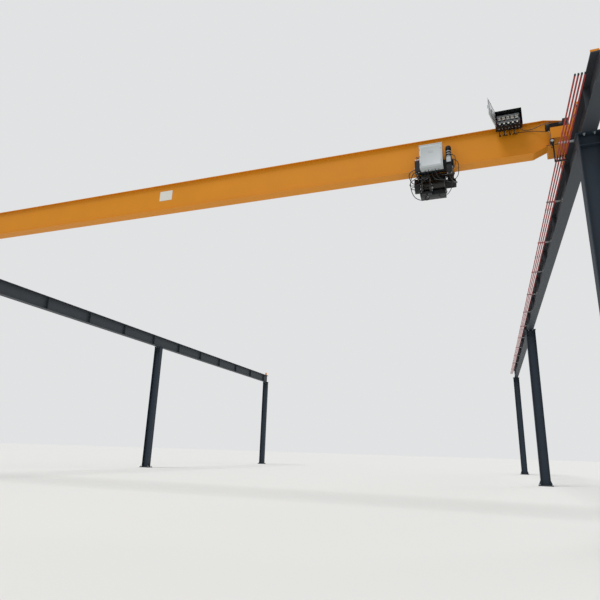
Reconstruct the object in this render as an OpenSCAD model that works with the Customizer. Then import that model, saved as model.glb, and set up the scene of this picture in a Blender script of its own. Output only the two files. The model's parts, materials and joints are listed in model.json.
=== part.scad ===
// Overhead bridge crane: one box girder on two end trucks, a low wire-rope hoist on its bottom flange,
// and the runway of I-beams on columns that carries it. X runs along the girder, Y along the runway.

/* [Runway] */
// Distance between the two crane rails, centre to centre
span = 24000; // [18000:100:26000]
// Length of each runway beam
runway_len = 39700; // [38500:100:39900]
// Distance between neighbouring columns
bay = 18800; // [16000:100:19000]
// Distance from the far end of a beam to its last column
end_margin = 300; // [260:10:500]
// Height of the top of the runway beams above the floor
beam_top = 8750; // [7000:50:10000]
// Depth of a runway beam
beam_h = 680; // [600:10:800]
// Width of the flanges of a runway beam
beam_w = 300; // [260:10:360]
// Thickness of the flanges of a runway beam
beam_flange = 22; // [16:1:30]
// Thickness of the web of a runway beam
beam_web = 12; // [8:1:20]
// Distance between the web stiffeners of a runway beam
stiffener_pitch = 3133; // [2400:10:4000]
// Width of the crane rail
rail_w = 50; // [40:1:60]
// Height of the crane rail
rail_h = 50; // [40:1:60]

/* [Columns] */
// Depth of a column across the runway
col_h = 460; // [380:10:500]
// Width of the flanges of a column
col_w = 300; // [240:10:340]
// Thickness of the flanges of a column
col_flange = 20; // [14:1:30]
// Thickness of the web of a column
col_web = 12; // [8:1:20]
// Length of a base plate across the runway
base_l = 680; // [640:10:760]
// Width of a base plate along the runway
base_w = 460; // [400:10:500]
// Thickness of a base plate
base_t = 40; // [25:1:60]
// Distance between anchor bolts across the runway
anchor_x = 580; // [560:5:600]
// Distance between anchor bolts along the runway
anchor_y = 340; // [300:5:360]
// Diameter of the anchor bolt holes
anchor_d = 36; // [24:1:42]
// Thickness of the cap plate under a runway beam
cap_t = 25; // [16:1:40]

/* [Conductor bars] */
// Number of conductor bars
bar_count = 4; // [3:1:5]
// Distance between neighbouring conductor bars
bar_pitch = 60; // [50:1:70]
// Width of a conductor bar
bar_w = 26; // [20:1:32]
// Height of a conductor bar
bar_h = 34; // [28:1:40]
// Height of the underside of the conductor bars above the floor
bar_z = 8430; // [8400:5:8480]

/* [Girder] */
// Height of the underside of the girder above the rail
girder_drop = 100; // [80:5:130]
// Depth of the girder with its flanges
girder_h = 900; // [800:10:1000]
// Width of the flanges
flange_w = 350; // [330:5:380]
// Thickness of the flanges
flange_t = 18; // [12:1:24]
// Thickness of the webs
web_t = 8; // [6:1:12]
// Width over both webs
web_out = 230; // [210:5:240]
// Distance between the diaphragms inside the girder
diaphragm_pitch = 1500; // [1200:50:2000]
// Place of the bridge along the runway at rest
crane_y = -16400; // [-16800:100:-15800]
// Length of the shallow end of the girder, from the end plate inward
end_len = 480; // [420:10:520]
// Length of the slope from the shallow end to the full depth
end_slope = 330; // [300:10:400]
// How far the underside rises at each end
end_rise = 150; // [140:5:170]
// How far the top falls at each end
end_fall = 110; // [80:5:140]

/* [End trucks] */
// Distance between the two wheels of an end truck
wheelbase = 2300; // [2100:50:2400]
// Length of the box of an end truck
truck_len = 2720; // [2660:20:2800]
// Width of the box of an end truck
truck_w = 200; // [190:5:220]
// Height of the box of an end truck
truck_h = 320; // [300:10:340]
// Wall of the box of an end truck
truck_t = 10; // [8:1:14]
// Diameter of the tread of a crane wheel
wheel_d = 220; // [200:5:240]
// Height of the truck box above the rail
truck_lift = 40; // [30:5:50]
// Length of a rubber buffer
buffer_len = 100; // [80:5:120]
// Diameter of a rubber buffer
buffer_d = 125; // [100:5:140]
// Height of the box that joins the girder to an end truck
head_h = 300; // [260:10:320]
// Length of that box along the truck
head_w = 1000; // [900:20:1200]

/* [Hoist trolley] */
// Place of the trolley along the girder at rest
hoist_x = 8645; // [8200:50:8700]
// Length of the side plates of the trolley
side_len = 1000; // [960:10:1040]
// Height of the side plates of the trolley
side_h = 330; // [310:5:350]
// Thickness of the side plates
side_t = 12; // [10:1:16]
// Distance between the two wheels of a side plate
trolley_base = 720; // [660:10:760]
// Diameter of the tread of a trolley wheel
roller_d = 125; // [110:5:130]
// Diameter of the rope drum
drum_d = 300; // [280:5:320]
// Length of the grooved part of the rope drum
drum_len = 640; // [600:10:660]
// Diameter of the hoist rope
rope_d = 11; // [9:0.5:12]
// Distance between neighbouring turns on the drum
groove_pitch = 16; // [14:0.5:20]
// Distance from the drum axis to the middle of the girder
drum_y = 260; // [255:1:275]
// Distance from the underside of the girder down to the drum axis
drum_drop = 280; // [275:1:300]
// Width of the control box along the girder
box_w = 590; // [540:10:620]
// Height of the control box
box_h = 660; // [600:10:700]
// Depth of the control box
box_d = 230; // [200:10:260]

/* [Hook block] */
// Number of drum grooves between the two hook sheaves
sheave_grooves = 13; // [12:1:14]
// Distance from the underside of the girder down to the sheave axis at rest
block_drop = 470; // [450:5:520]
// Throat of the hook
hook_throat = 50; // [44:1:60]
// Thickness of the hook at its seat
hook_t = 44; // [36:1:50]

/* [Cabinet] */
// Width of the electrical cabinet
cab_w = 640; // [560:10:680]
// Height of the electrical cabinet
cab_h = 460; // [420:10:520]
// Depth of the electrical cabinet
cab_d = 220; // [180:10:260]
// Place of the middle of the cabinet along the girder
cab_x = 10560; // [10400:20:10640]
// How far the cabinet stands above the girder
cab_above = 330; // [280:10:360]
// Angle of the open door
door_open = 105; // [95:1:115]

/* [Hidden] */
$fn = 48;

// Heights
rail_top = beam_top + rail_h;
beam_bottom = beam_top - beam_h;
girder_z = rail_top - girder_drop;
girder_top = girder_z + girder_h;
end_z = girder_z + end_rise;
end_top = girder_top - end_fall;
truck_z = rail_top + truck_lift;
run_gap = 0.3;
wheel_z = rail_top + wheel_d / 2 + run_gap;

// Places along the runway
far_end = runway_len / 2;
last_col = far_end - end_margin;
col_ys = [for (i = [0:2]) last_col - i * bay];

// Places along the girder
rail_x = span / 2;
girder_end = rail_x - truck_w / 2;
plate_t = 20;
shallow_x = girder_end - end_len;
full_x = shallow_x - end_slope;

columns_colour = "#35414F";
beam_colour = "#3A3F44";
crane_colour = "#F2A000";
dark_colour = "#1D2024";
steel_colour = "#8A8F94";
pale_colour = "#D8DCDC";
bar_colour = "#B0302A";

// Shapes used by several pieces

module i_section(depth, width, flange, web) {
    square([web, depth], center = true);
    for (side = [-1, 1])
        translate([0, side * (depth - flange) / 2])
            square([width, flange], center = true);
}

module block(size, pos) {
    translate(pos - [size[0] / 2, size[1] / 2, 0])
        cube(size);
}

module along_x(length, radius, pos) {
    translate(pos)
        rotate([0, 90, 0])
            cylinder(h = length, r = radius, center = true);
}

module along_y(length, radius, pos) {
    translate(pos)
        rotate([90, 0, 0])
            cylinder(h = length, r = radius, center = true);
}

// Columns and runway

module column(x, y) {
    shaft_h = beam_bottom - cap_t - base_t;
    gusset_h = 260;
    gusset_t = 14;
    translate([x, y, base_t]) {
        linear_extrude(height = shaft_h)
            rotate(90)
                i_section(col_h, col_w, col_flange, col_web);
        block([col_h + 60, col_w + 40, cap_t], [0, 0, shaft_h]);
        for (side = [-1, 1])
            translate([side * col_h / 2, 0, 0])
                rotate([90, 0, side > 0 ? 0 : 180])
                    linear_extrude(height = gusset_t, center = true)
                        polygon([[0, 0], [(base_l - col_h) / 2 - 10, 0], [0, gusset_h]]);
        for (level = [shaft_h - 280])
            for (side = [-1, 1])
                block([col_h - 2 * col_flange, (col_w - col_web) / 2, gusset_t],
                    [0, side * (col_w + col_web) / 4, level]);
    }
}

module left_columns() {
    color(columns_colour)
        for (y = col_ys)
            column(-rail_x, y);
}

module right_columns() {
    color(columns_colour)
        for (y = col_ys)
            column(rail_x, y);
}

module base_plates() {
    color(columns_colour)
        for (side = [-1, 1])
            for (y = col_ys)
                difference() {
                    block([base_l, base_w, base_t], [side * rail_x, y, 0]);
                    for (ax = [-1, 1])
                        for (ay = [-1, 1])
                            translate([side * rail_x + ax * anchor_x / 2, y + ay * anchor_y / 2, -1])
                                cylinder(h = base_t + 2, d = anchor_d);
                }
}

module runway_beam(x) {
    stiffener_t = 12;
    stiffener_n = floor((runway_len / 2 - end_margin) / stiffener_pitch);
    translate([x, 0, beam_bottom + beam_h / 2])
        rotate([90, 0, 0])
            linear_extrude(height = runway_len, center = true)
                i_section(beam_h, beam_w, beam_flange, beam_web);
    for (i = [-stiffener_n:stiffener_n])
        for (side = [-1, 1])
            block([(beam_w - beam_web) / 2 - 15, stiffener_t, beam_h - 2 * beam_flange],
                [x + side * ((beam_w - beam_web) / 4 - 7.5 + beam_web / 2), i * stiffener_pitch, beam_bottom + beam_flange]);
}

module left_runway_beam() {
    color(beam_colour)
        runway_beam(-rail_x);
}

module right_runway_beam() {
    color(beam_colour)
        runway_beam(rail_x);
}

module crane_rails() {
    color(steel_colour)
        for (side = [-1, 1])
            block([rail_w, runway_len - 100, rail_h], [side * rail_x, 0, beam_top]);
}

stop_y = far_end - 300;
stop_t = 20;
stop_w = 160;
stop_h = wheel_z + 120 - rail_top;

module end_stops() {
    color(crane_colour)
        for (side = [-1, 1])
            for (way = [-1, 1])
                translate([side * rail_x, way * stop_y, rail_top]) {
                    block([stop_w, stop_t, stop_h], [0, 0, 0]);
                    block([stop_w, 220, stop_t], [0, way * 120, 0]);
                    translate([0, way * stop_t / 2, stop_t])
                        rotate([90, 0, way > 0 ? 90 : -90])
                            linear_extrude(height = stop_t, center = true)
                                polygon([[0, 0], [200, 0], [0, stop_h - 60]]);
                }
}

bar_x0 = rail_x - beam_w / 2 - 90;

function bar_x(i) = bar_x0 - i * bar_pitch;

module conductor_bars() {
    color(bar_colour)
        for (i = [0:bar_count - 1])
            block([bar_w, runway_len - 400, bar_h], [bar_x(i), 0, bar_z]);
}

arm_h = 40;

module conductor_brackets() {
    arm_z = bar_z + bar_h;
    arm_in = bar_x(bar_count - 1) - 25;
    arm_out = rail_x - beam_web / 2;
    bracket_n = floor((runway_len / 2 - end_margin) / stiffener_pitch);
    color(steel_colour)
        for (i = [-bracket_n:bracket_n - 1])
            translate([0, (i + 0.5) * stiffener_pitch, arm_z]) {
                block([arm_out - arm_in, 40, arm_h], [(arm_out + arm_in) / 2, 0, 0]);
                block([12, 120, 160], [arm_out - 6, 0, -60]);
            }
}

// Bridge girder

module girder_profile(low, high) {
    polygon([
        [-girder_end + plate_t, end_z + low], [-shallow_x, end_z + low], [-full_x, girder_z + low],
        [full_x, girder_z + low], [shallow_x, end_z + low], [girder_end - plate_t, end_z + low],
        [girder_end - plate_t, end_top - high], [full_x + end_slope * 0.9, girder_top - high],
        [-full_x - end_slope * 0.9, girder_top - high], [-girder_end + plate_t, end_top - high]]);
}

module girder_slab(width, y) {
    translate([0, crane_y + y, 0])
        rotate([90, 0, 0])
            linear_extrude(height = width, center = true)
                children();
}

module girder_top_flange() {
    color(crane_colour)
        girder_slab(flange_w, 0)
            difference() {
                girder_profile(0, 0);
                translate([0, -flange_t])
                    girder_profile(-girder_h, 0);
            }
}

module girder_bottom_flange() {
    color(crane_colour)
        girder_slab(flange_w, 0)
            difference() {
                girder_profile(0, 0);
                translate([0, flange_t])
                    girder_profile(0, -girder_h);
            }
}

module girder_web(side) {
    girder_slab(web_t, side * (web_out - web_t) / 2)
        girder_profile(flange_t, flange_t);
}

module girder_front_web() {
    color(crane_colour)
        girder_web(-1);
}

module girder_back_web() {
    color(crane_colour)
        girder_web(1);
}

module girder_diaphragms() {
    diaphragm_t = 6;
    diaphragm_n = floor((full_x - 200) / diaphragm_pitch);
    color(crane_colour)
        for (i = [-diaphragm_n:diaphragm_n])
            block([diaphragm_t, web_out - 2 * web_t, girder_h - 2 * flange_t],
                [i * diaphragm_pitch, crane_y, girder_z + flange_t]);
}

module girder_end_plates() {
    color(crane_colour)
        for (side = [-1, 1])
            block([plate_t, flange_w, end_top - end_z], [side * (girder_end - plate_t / 2), crane_y, end_z]);
}

module head_boxes() {
    head_l = end_len - plate_t - 30;
    head_side = (head_w - flange_w) / 2;
    color(crane_colour)
        for (side = [-1, 1])
            for (way = [-1, 1])
                translate([side * (girder_end - head_l / 2), crane_y + way * (flange_w + head_side) / 2, end_z])
                    difference() {
                        block([head_l, head_side, head_h], [0, 0, 0]);
                        block([head_l - 24, head_side - 24, head_h - 24], [0, 0, 12]);
                    }
}

// End trucks

module end_truck(x) {
    slot_l = wheel_d + 60;
    slot_w = 100;
    translate([x, crane_y, truck_z])
        difference() {
            block([truck_w, truck_len, truck_h], [0, 0, 0]);
            block([truck_w - 2 * truck_t, truck_len - 2 * truck_t, truck_h - 2 * truck_t], [0, 0, truck_t]);
            for (way = [-1, 1]) {
                block([slot_w, slot_l, truck_t + 2], [0, way * wheelbase / 2, -1]);
                along_x(truck_w + 2, axle_d / 2, [0, way * wheelbase / 2, wheel_z - truck_z]);
            }
        }
}

axle_d = 50;

module left_end_truck() {
    color(crane_colour)
        end_truck(-rail_x);
}

module right_end_truck() {
    color(crane_colour)
        end_truck(rail_x);
}

module crane_wheel(x, y) {
    flange_d = wheel_d + 26;
    tread_w = rail_w + 10;
    flange_wid = 12;
    hub_w = truck_w - 2 * truck_t - 2;
    along_x(tread_w, wheel_d / 2, [x, y, wheel_z]);
    for (side = [-1, 1])
        along_x(flange_wid, flange_d / 2, [x + side * (tread_w + flange_wid) / 2, y, wheel_z]);
    along_x(hub_w, 45, [x, y, wheel_z]);
    along_x(truck_w + 30, axle_d / 2, [x, y, wheel_z]);
}

module truck_wheels() {
    color(steel_colour)
        for (side = [-1, 1])
            for (way = [-1, 1])
                crane_wheel(side * rail_x, crane_y + way * wheelbase / 2);
}

module truck_buffers() {
    color(dark_colour)
        for (side = [-1, 1])
            for (way = [-1, 1])
                along_y(buffer_len, buffer_d / 2,
                    [side * rail_x, crane_y + way * (truck_len + buffer_len) / 2, truck_z + truck_h / 2]);
}

drive_y = crane_y - head_w / 2 + 190;
drive_z = end_z + head_h + 130;
gear_l = 130;
gear_neck = 20;
motor_d = 190;
motor_l = 360;

module drive_gearboxes() {
    color(dark_colour)
        for (side = [-1, 1])
            translate([side * (girder_end - gear_l / 2), drive_y, 0]) {
                block([gear_l, 240, 250], [0, 0, end_z + head_h]);
                along_x(gear_neck, 60, [-side * (gear_l + gear_neck) / 2, 0, drive_z]);
            }
}

module finned_motor(length, d, fins) {
    core = d - 26;
    cylinder(h = length, d = core, center = true);
    for (i = [0:fins - 1])
        rotate([0, 0, i * 360 / fins])
            translate([core / 2 + 2, 0, 0])
                cube([18, 5, length * 0.62], center = true);
    for (end = [-1, 1])
        translate([0, 0, end * length * 0.41])
            cylinder(h = length * 0.18, d = d - 4, center = true);
}

module drive_motors() {
    color(dark_colour)
        for (side = [-1, 1])
            translate([side * (girder_end - gear_l - gear_neck - motor_l / 2), drive_y, drive_z])
                rotate([0, 90, 0])
                    finned_motor(motor_l, motor_d, 16);
}

// Cabinet and its fittings

cab_front = crane_y - web_out / 2 - 90 - cab_d;
cab_z = girder_top + cab_above - cab_h;
cab_wall = 3;

module control_cabinet() {
    color(dark_colour)
        translate([cab_x, cab_front + cab_d / 2, cab_z]) {
            difference() {
                block([cab_w, cab_d, cab_h], [0, 0, 0]);
                block([cab_w - 2 * cab_wall, cab_d, cab_h - 2 * cab_wall], [0, -cab_wall, cab_wall]);
            }
            for (side = [-1, 1])
                block([50, 90, 50], [side * cab_w / 3, cab_d / 2 + 45, 40]);
        }
    color(dark_colour)
        cabinet_hinges();
}

module cabinet_gear() {
    rail_len = cab_w - 100;
    plate_y = cab_front + cab_d - cab_wall - 3;
    color(steel_colour)
        translate([cab_x, plate_y, cab_z]) {
            block([cab_w - 60, 6, cab_h - 60], [0, 0, 30]);
            for (row = [0, 1])
                for (i = [0:4])
                    block([70, 80, 90], [-rail_len / 2 + 55 + i * 105, -43, 70 + row * 190]);
        }
}

door_gap = 5;
door_t = 20;
door_x = cab_x - cab_w / 2;
door_y = cab_front - door_gap - door_t / 2;
pin_r = 4;
knuckle_r = 9;
knuckle_l = 40;
leaf_l = 60;
knuckle_zs = [cab_z + 60, cab_z + cab_h - 60 - 2 * knuckle_l];

module cabinet_hinges() {
    for (z = knuckle_zs) {
        translate([door_x, door_y, z])
            cylinder(h = knuckle_l, r = knuckle_r);
        translate([door_x, door_y, z])
            cylinder(h = 2 * knuckle_l, r = pin_r);
        translate([door_x - knuckle_r, door_y, z])
            cube([knuckle_r, cab_front + leaf_l - door_y, knuckle_l]);
    }
}

module cabinet_door() {
    color(pale_colour)
        translate([door_x, door_y, 0])
            rotate([0, 0, -door_open])
                difference() {
                    union() {
                        translate([knuckle_r + 4, -door_t / 2, cab_z])
                            cube([cab_w - knuckle_r - 4, door_t, cab_h]);
                        for (z = knuckle_zs) {
                            translate([0, 0, z + knuckle_l + 1])
                                cylinder(h = knuckle_l - 2, r = knuckle_r);
                            translate([0, -door_t / 2, z + knuckle_l + 1])
                                cube([knuckle_r + 5, 6, knuckle_l - 2]);
                        }
                    }
                    for (z = knuckle_zs)
                        translate([0, 0, z])
                            cylinder(h = 2 * knuckle_l + 10, r = pin_r + 0.1);
                }
}

module limit_switch() {
    lever_l = 130;
    x = girder_end - end_len + 60;
    y = crane_y - head_w / 2 + 60;
    color(dark_colour)
        translate([x, y, end_z]) {
            block([90, 80, 110], [0, 0, -110]);
            along_x(2 * lever_l, 7, [0, 0, -150]);
            along_y(2 * lever_l, 7, [0, 0, -150]);
            translate([0, 0, -170])
                cylinder(h = 60, d = 40);
        }
}

arm_x = shallow_x + 100;
arm_y = crane_y - flange_w / 2 - 125;
shoe_gap = 5;

module collector_arm() {
    tube = 30;
    drop_z = bar_z - 130;
    out_x = bar_x(0) + 40;
    color(dark_colour)
        translate([0, arm_y, 0]) {
            block([tube, tube, end_z - drop_z], [arm_x, 0, drop_z]);
            block([out_x - arm_x, tube, tube], [(out_x + arm_x) / 2, 0, drop_z]);
            for (i = [0:bar_count - 1]) {
                block([16, 16, bar_z - shoe_gap - drop_z - tube - 20], [bar_x(i), 0, drop_z + tube]);
                block([bar_w - 6, 110, 20], [bar_x(i), 0, bar_z - shoe_gap - 20]);
            }
        }
}

// Trolley

side_gap = 24;
side_in = flange_w / 2 + side_gap;
side_out = side_in + side_t;
roller_z = girder_z + flange_t + roller_d / 2 + run_gap;
side_top = roller_z + 120;
far_h = side_top - (girder_z - 95);
pin_d = 40;
roller_xs = [hoist_x - trolley_base / 2, hoist_x + trolley_base / 2];
tie_d = 50;
tie_z = girder_z - 60;
tie_xs = [hoist_x - 440, hoist_x + 440];

module side_plate(side, height) {
    corner = 60;
    difference() {
        translate([hoist_x, crane_y + side * (side_in + side_t / 2), side_top - height])
            rotate([90, 0, 0])
                linear_extrude(height = side_t, center = true)
                    translate([-side_len / 2, 0])
                        polygon([[corner, 0], [side_len - corner, 0], [side_len, corner], [side_len, height - corner],
                            [side_len - corner, height], [corner, height], [0, height - corner], [0, corner]]);
        for (x = roller_xs)
            along_y(4 * side_out, pin_d / 2, [x, crane_y, roller_z]);
        for (x = tie_xs)
            along_y(4 * side_out, tie_d / 2, [x, crane_y, tie_z]);
    }
}

module near_side_plate() {
    color(dark_colour)
        side_plate(-1, side_h);
}

module far_side_plate() {
    color(dark_colour)
        side_plate(1, far_h);
}

module trolley_wheels() {
    tread_w = 44;
    lip_w = 12;
    lip_gap = 5;
    color(steel_colour)
        for (x = roller_xs)
            for (side = [-1, 1])
                translate([x, crane_y + side * (flange_w / 2 + lip_gap), roller_z])
                    rotate([side * 90, 0, 0]) {
                        cylinder(h = tread_w, d = roller_d);
                        translate([0, 0, -lip_w])
                            cylinder(h = lip_w, d = roller_d + 26);
                        translate([0, 0, lip_gap - side_gap - side_t])
                            cylinder(h = side_gap + side_t - lip_gap, d = pin_d);
                    }
}

module tie_bars() {
    color(steel_colour)
        for (x = tie_xs)
            along_y(2 * side_out, tie_d / 2, [x, crane_y, tie_z]);
}

box_z = girder_z - 90;
box_back = side_out + 14;

module control_box() {
    color(pale_colour)
        translate([hoist_x - 60, crane_y - box_back - box_d / 2, box_z]) {
            block([box_w, box_d, box_h], [0, 0, 0]);
            block([box_w + 16, box_d + 16, 14], [0, 0, box_h]);
            for (side = [-1, 1])
                block([60, 14, 200], [side * box_w / 3, box_d / 2 + 7, 20]);
        }
}

travel_x = hoist_x + 385;
travel_y = crane_y - side_out - 95;

module travel_motor() {
    color(dark_colour)
        translate([travel_x, travel_y, 0]) {
            block([150, 190, 190], [0, 0, roller_z - 95]);
            translate([0, 0, roller_z + 95 + 150])
                finned_motor(300, 150, 14);
            translate([0, 0, roller_z + 95 + 300])
                cylinder(h = 30, d = 120);
        }
}

module cable_box() {
    color(dark_colour)
        translate([hoist_x - 430, crane_y - side_out - 70, 0])
            block([130, 140, 330], [0, 0, girder_z - 130]);
}

// Hoist machinery on the far side of the girder

drum_z = girder_z - drum_drop;
drum_x = hoist_x - 100;
drum_r = drum_d / 2;
drum_lip = 25;
drum_gap = 28;
frame_xs = [drum_x - drum_len / 2 - drum_gap, drum_x + drum_len / 2 + drum_gap];
frame_t = 16;
frame_low = drum_z - drum_r - drum_lip - 5;
frame_far = drum_y + drum_r + drum_lip + 25;
shaft_r = 45;
drum_at = crane_y + drum_y;
far_low = side_top - far_h;

module drum_frame() {
    near = drum_y - drum_r - drum_lip - 25;
    bar = 40;
    color(dark_colour)
        for (x = frame_xs)
            difference() {
                translate([x, crane_y, 0])
                    rotate([90, 0, 90])
                        linear_extrude(height = frame_t, center = true)
                            polygon([[near, frame_low], [frame_far, frame_low], [frame_far, side_top - 80],
                                [side_out, side_top - 80], [side_out, far_low - 10], [near, far_low - 10]]);
                along_x(2 * frame_t, shaft_r, [x, drum_at, drum_z]);
            }
    color(dark_colour)
        for (z = [frame_low, side_top - 80 - bar])
            block([frame_xs[1] - frame_xs[0] - frame_t, bar / 2, bar], [drum_x, crane_y + frame_far - bar / 4, z]);
}

groove_n = floor(drum_len / groove_pitch) - 2;
groove_r = drum_r + rope_d * 0.15;

function groove_x(i) = drum_x + (i - (groove_n - 1) / 2) * groove_pitch;

module rope_drum() {
    color(steel_colour)
        translate([drum_x, drum_at, drum_z])
            rotate([0, 90, 0]) {
                rotate_extrude()
                    difference() {
                        translate([0, -drum_len / 2])
                            square([drum_r, drum_len]);
                        for (i = [0:groove_n - 1])
                            translate([groove_r, groove_x(i) - drum_x])
                                circle(r = rope_d / 2, $fn = 16);
                    }
                for (end = [-1, 1]) {
                    translate([0, 0, end * (drum_len / 2 + 6)])
                        cylinder(h = 12, r = drum_r + drum_lip, center = true);
                    translate([0, 0, end * (drum_len / 2 + (drum_gap + frame_t / 2) / 2)])
                        cylinder(h = drum_gap + frame_t / 2, r = shaft_r, center = true);
                }
            }
}

first_turn = 3;
// Angle below the tangent at which the first turn is one rope clear of the fall that leaves it
lift_off = acos(1 - (rope_d + 1) / groove_r);

module drum_rope() {
    ring_r = rope_d / 2 - 0.2;
    color(steel_colour)
        for (i = [first_turn:groove_n - 1])
            translate([groove_x(i), drum_at, drum_z])
                rotate([0, 90, 0])
                    rotate([0, 0, lift_off - 90])
                        rotate_extrude(angle = i == first_turn ? 360 - lift_off : 360)
                            translate([groove_r, 0])
                                circle(r = ring_r, $fn = 16);
}

gearbox_l = 120;

module hoist_gearbox() {
    case_r = 165;
    color(dark_colour)
        translate([frame_xs[0] - frame_t / 2 - gearbox_l / 2, drum_at, 0]) {
            block([gearbox_l, 2 * case_r - 60, 190], [0, 0, drum_z]);
            along_x(gearbox_l, case_r, [0, 0, drum_z]);
        }
}

module hoist_motor() {
    hoist_motor_l = 260;
    color(dark_colour)
        translate([frame_xs[1] + frame_t / 2 + hoist_motor_l / 2, drum_at, drum_z])
            rotate([0, 90, 0])
                finned_motor(hoist_motor_l, 250, 20);
}

// Ropes, sheaves and hook

sheave_gap = sheave_grooves * groove_pitch;
sheave_pitch_r = sheave_gap / 2;
sheave_root_r = sheave_pitch_r - rope_d / 2 - run_gap;
sheave_rim_r = sheave_pitch_r + 8;
sheave_pin_r = 20;
sheave_w = 34;
fall_xs = [groove_x(first_turn), groove_x(first_turn) + sheave_gap];
hook_x = (fall_xs[0] + fall_xs[1]) / 2;
fall_far = drum_y - groove_r;
fall_near = fall_far - sheave_gap;
anchor_y_at = fall_far - 26;
hook_y = crane_y + (fall_far + fall_near) / 2;
block_z = girder_z - block_drop;
return_z = girder_z - 140;
anchor_z = girder_z - 130;
// The fall to the anchor leans, so its square end stops this far below the anchor's face
rope_end_gap = 1;

module sheave() {
    throat_r = rope_d / 2 + 1;
    rotate_extrude()
        difference() {
            translate([sheave_pin_r, -sheave_w / 2])
                square([sheave_rim_r - sheave_pin_r, sheave_w]);
            translate([sheave_root_r + throat_r, 0])
                circle(r = throat_r, $fn = 24);
            polygon([[sheave_root_r + throat_r, -throat_r], [sheave_rim_r + 1, -throat_r - 4],
                [sheave_rim_r + 1, throat_r + 4], [sheave_root_r + throat_r, throat_r]]);
        }
}

module return_sheave() {
    color(dark_colour)
        translate([hook_x, crane_y + fall_near, return_z]) {
            rotate([90, 0, 0])
                sheave();
            along_y(2 * cheek_out, sheave_pin_r, [0, 0, 0]);
        }
}

cheek_in = 24;
cheek_out = 36;

module cross_bar(y, thick) {
    block([tie_xs[1] - tie_xs[0] - tie_d, thick, 60], [(tie_xs[0] + tie_xs[1]) / 2, y, tie_z - 30]);
}

module sheave_beam() {
    color(dark_colour)
        for (side = [-1, 1])
            difference() {
                translate([0, crane_y + fall_near + side * (cheek_in + cheek_out) / 2, 0]) {
                    cross_bar(0, cheek_out - cheek_in);
                    block([120, cheek_out - cheek_in, 110], [hook_x, 0, return_z - 40]);
                }
                along_y(600, sheave_pin_r, [hook_x, crane_y, return_z]);
            }
}

module rope_anchor() {
    color(dark_colour) {
        cross_bar(crane_y + anchor_y_at, 16);
        block([40, 40, tie_z - anchor_z], [fall_xs[1], crane_y + anchor_y_at, anchor_z]);
    }
}

module straight_rope(from, to) {
    step = to - from;
    reach = norm(step);
    translate(from)
        rotate([0, acos(step[2] / reach), atan2(step[1], step[0])])
            cylinder(h = reach, d = rope_d);
}

module hoist_ropes() {
    color(steel_colour) {
        for (x = fall_xs)
            straight_rope([x, crane_y + fall_near, block_z], [x, crane_y + fall_near, return_z]);
        straight_rope([fall_xs[0], crane_y + fall_far, block_z], [fall_xs[0], crane_y + fall_far, drum_z]);
        straight_rope([fall_xs[1], crane_y + fall_far, block_z], [fall_xs[1], crane_y + anchor_y_at, anchor_z - rope_end_gap]);
    }
}

strap_x = sheave_gap / 2 + sheave_w / 2 + 9;
strap_t = 12;
cross_h = 60;
cross_z = block_z - sheave_rim_r - 8 - cross_h;
shank_r = 17;

module hook_block() {
    color(crane_colour)
        difference() {
            translate([hook_x, hook_y, 0]) {
                for (side = [-1, 1]) {
                    along_x(strap_t, sheave_rim_r + 8, [side * strap_x, 0, block_z]);
                    block([strap_t, 80, block_z - cross_z], [side * strap_x, 0, cross_z]);
                }
                block([2 * strap_x, 80, cross_h], [0, 0, cross_z]);
                along_x(2 * strap_x, sheave_pin_r, [0, 0, block_z]);
            }
            translate([hook_x, hook_y, cross_z - 1])
                cylinder(h = cross_h + 2, r = shank_r + 0.1);
        }
}

module hook_sheaves() {
    color(dark_colour)
        for (x = fall_xs)
            translate([x, hook_y, block_z])
                rotate([0, 90, 0])
                    sheave();
}

seat_r = hook_throat / 2 + hook_t / 2;
seat_z = cross_z - 60 - seat_r;

module lifting_hook() {
    color(steel_colour)
        translate([hook_x, hook_y, 0]) {
            translate([0, 0, seat_z + seat_r])
                cylinder(h = cross_z + cross_h - seat_z - seat_r + 20, r = shank_r);
            translate([0, 0, cross_z + cross_h + run_gap])
                cylinder(h = 20, r = 2 * shank_r);
            translate([0, 0, seat_z])
                rotate([90, 0, 0])
                    rotate([0, 0, 90])
                        rotate_extrude(angle = 270)
                            translate([seat_r, 0])
                                circle(d = hook_t);
        }
}

left_columns();
right_columns();
base_plates();
left_runway_beam();
right_runway_beam();
crane_rails();
end_stops();
conductor_bars();
conductor_brackets();
girder_top_flange();
girder_bottom_flange();
girder_front_web();
girder_back_web();
girder_diaphragms();
girder_end_plates();
head_boxes();
left_end_truck();
right_end_truck();
truck_wheels();
truck_buffers();
drive_gearboxes();
drive_motors();
control_cabinet();
cabinet_gear();
limit_switch();
collector_arm();
cabinet_door();
near_side_plate();
far_side_plate();
trolley_wheels();
tie_bars();
control_box();
travel_motor();
cable_box();
drum_frame();
rope_drum();
drum_rope();
hoist_gearbox();
hoist_motor();
return_sheave();
sheave_beam();
rope_anchor();
hoist_ropes();
hook_block();
hook_sheaves();
lifting_hook();
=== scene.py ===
"""Finishes and fine detail of an overhead bridge crane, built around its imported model."""

import json
import math

import bpy
from bpy.props import FloatProperty, FloatVectorProperty, PointerProperty
from mathutils import Matrix, Vector


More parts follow.
